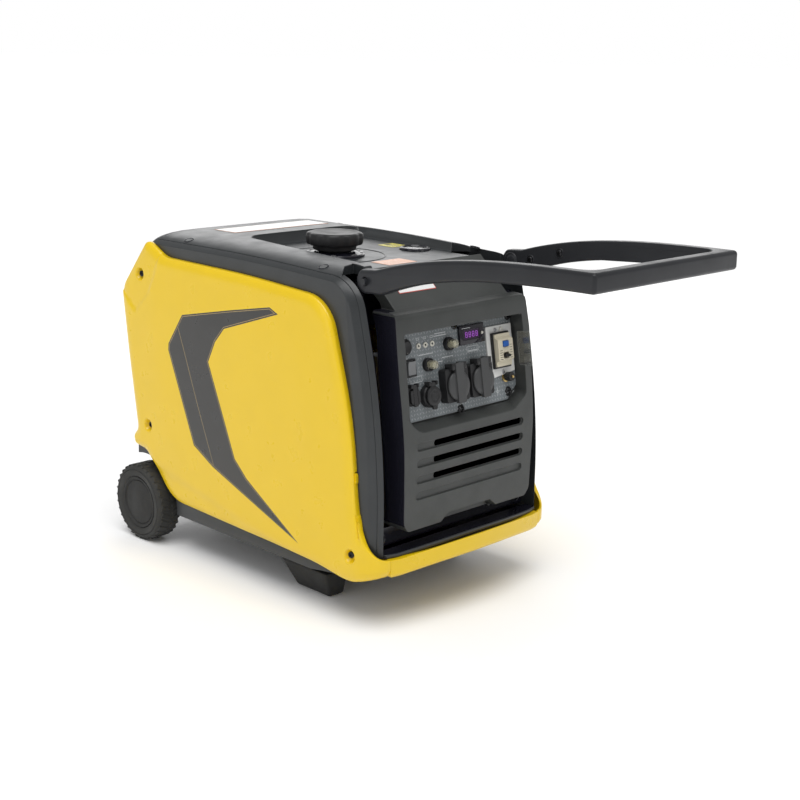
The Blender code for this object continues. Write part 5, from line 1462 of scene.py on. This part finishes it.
def ac_sockets():
    for number, u in enumerate((-0.0170, 0.0390)):
        name = str(number + 1)
        v = 0.0440
        base = slab(rectangle(u - 0.0250, v - 0.0265, u + 0.0250, v + 0.0250, 0.0050), "top", 0.0, 0.0150,
                    turn=PLATE_TURN)
        base = cut(base, rod((u, v - 0.002, 0.0150), (0, 0, 1), 0.0195, 0.0250, 48, turn=PLATE_TURN))
        ears = hinge_ears(u, 0.0125, 0.0035, (v + 0.0230, v + 0.0325), (0.0060, 0.0222), 0.0008)
        show("socket_body_" + name, base, SWITCH_BLACK, replaces=["ac_socket_" + name], soften=0.0009)
        show("socket_ears_" + name, ears, SWITCH_BLACK)
        plate_turned("socket_rim_" + name, ring_profile(0.0196, 0.0222, 0.0148, 0.0156, 0.0003), u, v - 0.002,
                     SWITCH_BLACK, steps=56)
        pins = [rod((u + sign * 0.0095, v - 0.002, 0.0028), (0, 0, 1), 0.0024, 0.0006, 20, turn=PLATE_TURN)
                for _, sign in SIDES]
        show("socket_contacts_" + name, together(*pins), BRASS)
        disc = turned([(0.0, 0.0206), (0.0150, 0.0205), (0.0205, 0.0200), (0.0226, 0.0188), (0.0232, 0.0172),
                       (0.0232, 0.0158), (0.0, 0.0158)], (u, v - 0.002, 0), (0, 0, 1), 64, PLATE_TURN)
        rib = rounded([(u - 0.0088, v - 0.0285, 0.0035), (u + 0.0088, v - 0.0285, 0.0035),
                       (u + 0.0088, v + 0.0325, 0.0010), (u - 0.0088, v + 0.0325, 0.0010)], 5)
        rib = slab(rib, "top", 0.0160, 0.0229, turn=PLATE_TURN)
        lid = join(disc, rib)
        show("socket_lid_face_" + name, lid, SWITCH_GREY, "socket_lid_" + name, ["ac_lid_" + name],
             soften=0.0008)


def low_voltage_sockets():
    u, v = -0.1050, 0.0400
    dc = slab(rectangle(u - 0.0110, v - 0.0150, u + 0.0110, v + 0.0130, 0.0030), "top", 0.0, 0.0080,
              turn=PLATE_TURN)
    dc = cut(dc, box((u - 0.0070, v - 0.0110, 0.0015), (u + 0.0070, v + 0.0070, 0.020), turn=PLATE_TURN))
    show("dc_body", dc, SWITCH_BLACK, replaces=["dc_socket"], soften=0.0005)
    ears = hinge_ears(u, 0.0068, 0.0016, (v + 0.0115, v + 0.0172), (0.0040, 0.0126), 0.0005)
    show("dc_ears", ears, SWITCH_BLACK)
    flap = slab(rectangle(u - 0.0098, v - 0.0125, u + 0.0098, v + 0.0085, 0.0045), "top", 0.0086, 0.0116,
                turn=PLATE_TURN)
    lug = slab(rectangle(u - 0.0042, v - 0.0165, u + 0.0042, v + 0.0162, 0.0022), "top", 0.0092, 0.0118,
               turn=PLATE_TURN)
    show("dc_flap_face", join(flap, lug), SWITCH_BLACK, "dc_flap", ["dc_lid"], soften=0.0005)
    u, v = -0.0690, 0.0340
    ring = [(0.0105, -0.0270), (0.0105, 0.0094), (0.0111, 0.0100), (0.0160, 0.0100), (0.0173, 0.0082),
            (0.0175, 0.0), (0.0125, 0.0), (0.0125, -0.0270)]
    plate_turned("round_socket_body", ring[::-1], u, v, SWITCH_BLACK, replaces=["car_socket"], w=0.0004,
                 steps=48)
    lining = [(0.0, -0.0265), (0.0102, -0.0265), (0.0102, 0.0060), (0.0098, 0.0060), (0.0098, -0.0255),
              (0.0, -0.0255)]
    plate_turned("round_socket_lining", lining[::-1], u, v, STEEL, w=0.0004)
    ears = hinge_ears(u, 0.0078, 0.0016, (v + 0.0160, v + 0.0222), (0.0050, 0.0156), 0.0005)
    show("round_socket_ears", ears, SWITCH_BLACK)
    cap = turned([(0.0, 0.0158), (0.0060, 0.0157), (0.0064, 0.0150), (0.0090, 0.0150), (0.0094, 0.0157),
                  (0.0132, 0.0156), (0.0148, 0.0146), (0.0150, 0.0118), (0.0, 0.0118)], (u, v, 0), (0, 0, 1),
                 48, PLATE_TURN)
    lug = slab(rectangle(u - 0.0048, v - 0.0200, u + 0.0048, v + 0.0208, 0.0026), "top", 0.0116, 0.0146,
               turn=PLATE_TURN)
    show("round_socket_cap", join(cap, lug), SWITCH_BLACK, "car_socket_cap", ["car_socket_lid"],
         soften=0.0004)


RCD_FACE = 0.0165         # the earth leakage breaker's face over the plate
COVER_W = 0.0245          # its closed clear cover over the plate


def earth_leakage_switch():
    white = rounded([(0.0690, 0.1190, 0.001), (0.0690, 0.0440, 0.001), (0.0780, 0.0380, 0.001),
                     (0.1290, 0.0440, 0.001), (0.1290, 0.1190, 0.001)], 3)
    white = slab(white, "top", 0.0, 0.0030, turn=PLATE_TURN)
    show("breaker_plate", white, PLATE_WHITE, soften=0.0004)
    for number, (u, v) in enumerate(((0.0905, 0.1125), (0.1010, 0.0450))):
        head = screw((u, v, 0.0030), (0, 0, 1), 0.0030, PLATE_TURN)
        show("breaker_plate_screw_" + str(number + 1), head, STEEL)
    surround = cut(box((0.0775, 0.0520, 0.0030), (0.1165, 0.1085, 0.0080), 0.0008, 2, PLATE_TURN),
                   box((0.0798, 0.0548, 0.0), (0.1152, 0.1062, 0.02), turn=PLATE_TURN))
    show("breaker_surround", surround, SWITCH_BLACK)
    body = slab([(0.0550, 0.0020), (0.0550, 0.0110), (0.0620, 0.0110), (0.0650, RCD_FACE), (0.0970, RCD_FACE),
                 (0.1000, 0.0110), (0.1060, 0.0110), (0.1060, 0.0020)], "top", 0.0800, 0.1150,
                turn=PLATE_TURN @ ACROSS)
    windows = [box((0.0975 - w / 2, v - h / 2, 0.0085), (0.0975 + w / 2, v + h / 2, 0.0400), turn=PLATE_TURN)
               for v, w, h in ((0.0900, 0.0130, 0.0100), (0.0720, 0.0130, 0.0090))]
    line = box((0.0973, 0.0640, RCD_FACE - 0.0004), (0.0977, 0.0665, 0.03), turn=PLATE_TURN)
    show("breaker_body", cut(body, *windows, line), BEIGE, replaces=["rcd_module"], soften=0.0005)
    low, high = RCD_FACE, RCD_FACE + 0.0001
    marks = [box((0.0830, 0.0660 + 0.0034 * i, low), (0.0890, 0.0668 + 0.0034 * i, high), turn=PLATE_TURN)
             for i in range(5)]
    marks += [box((0.1065, 0.0670 + 0.0040 * i, low), (0.1120, 0.0677 + 0.0040 * i, high), turn=PLATE_TURN)
              for i in range(6)]
    show("breaker_marks", together(*marks), SWITCH_BLACK)
    button = box((0.0915, 0.0856, 0.0107), (0.1035, 0.0944, RCD_FACE + 0.0022), 0.0009, 3, PLATE_TURN)
    show("test_button_face", button, BLUE, "breaker_test", ["rcd_test_button"])
    lever = [(-0.0025, -0.0020), (0.0025, -0.0020), (0.0022, 0.0070), (0.0004, 0.0090), (-0.0020, 0.0084)]
    lever = slab(lever, "top", -0.0055, 0.0055,
                 turn=PLATE_TURN @ Matrix.Translation((0.0975, 0.0715, 0.0125)) @ ACROSS)
    show("toggle_lever", lever, SWITCH_BLACK, "breaker_toggle", ["rcd_toggle"], soften=0.0004)
    hinge = Vector((0.1166, 0.0, COVER_W + 0.0008))
    swing = PLATE_TURN @ Matrix.Translation(hinge) @ Matrix.Rotation(math.radians(75), 4, "Y")
    swing = swing @ Matrix.Translation(-hinge)
    window = rectangle(0.0830, 0.0540, 0.1160, 0.1070, 0.0030)
    sheet = slab(window, "top", COVER_W, COVER_W + 0.0013, turn=swing)
    rim = cut(slab(window, "top", COVER_W - 0.0002, COVER_W + 0.0016, turn=swing),
              slab(rectangle(0.0842, 0.0552, 0.1148, 0.1058, 0.0026), "top", 0.01, 0.04, turn=swing))
    show("breaker_cover_sheet", sheet, SMOKY, "breaker_cover", ["rcd_cover"])
    show("breaker_cover_rim", rim, SMOKY_EDGE, "breaker_cover")
    tab = turned(ring_profile(0.0026, 0.0042, 0.0, 0.0012, 0.0003), (0.1040, 0.1115, 0.0030), (0, 0, 1), 28,
                 PLATE_TURN)
    show("breaker_latch", tab, IVORY)


def earth_terminal():
    count = 48
    outline = []
    for i in range(count):
        angle = 2 * math.pi * i / count
        radius = 0.0074 - 0.0009 * abs(math.sin(5 * angle))
        outline.append((0.1080 + radius * math.cos(angle), 0.0365 + radius * math.sin(angle)))
    knob = slab(outline, "top", 0.0030, 0.0150, 0.0, turn=PLATE_TURN)
    show("earth_knob_grip", knob, SWITCH_BLACK, "earth_knob", ["ground_knob"], soften=0.0007, angle=50)
    show("earth_stud", rod((0.1080, 0.0365, 0.0160), (0, 0, 1), 0.0022, 0.0020, 20, 0.0004, turn=PLATE_TURN),
         BRASS, "earth_knob")
    washer = rod((0.1080, 0.0365, 0.0016), (0, 0, 1), 0.0088, 0.0020, 32, 0.0003, turn=PLATE_TURN)
    show("earth_washer", washer, BRASS, "earth_knob")


# --- carried-over nodes -----------------------------------------------------------------------------
def dress_nodes():
    """Give every node of the frame its finish and smooth shading."""
    for part in frame["record"]["subparts"]:
        thing = NODES[part["node"]]
        thing.data.materials.clear()
        thing.data.materials.append(MATERIALS[part["material_slot"]])
        thing.data.shade_smooth()
        thing.data.set_sharp_from_angle(angle=math.radians(32))
    for side, _ in SIDES:
        pin = NODES["handle_pin_" + side].data
        pin.materials.clear()
        pin.materials.append(HANDLE_GREY)


make_camera()
make_studio()
dress_nodes()
for side, sign in SIDES:
    side_cover(side, sign)
front_bumper()
pan()
side_frames()
front_frame()
top_cover()
rear_cover()
wheels()
top_labels()
fuel_cap()
fuel_gauge()
handle_channel()
front_panel()
handle_bar()
control_plate()
buttons()
display()
ac_sockets()
low_voltage_sockets()
earth_leakage_switch()
earth_terminal()
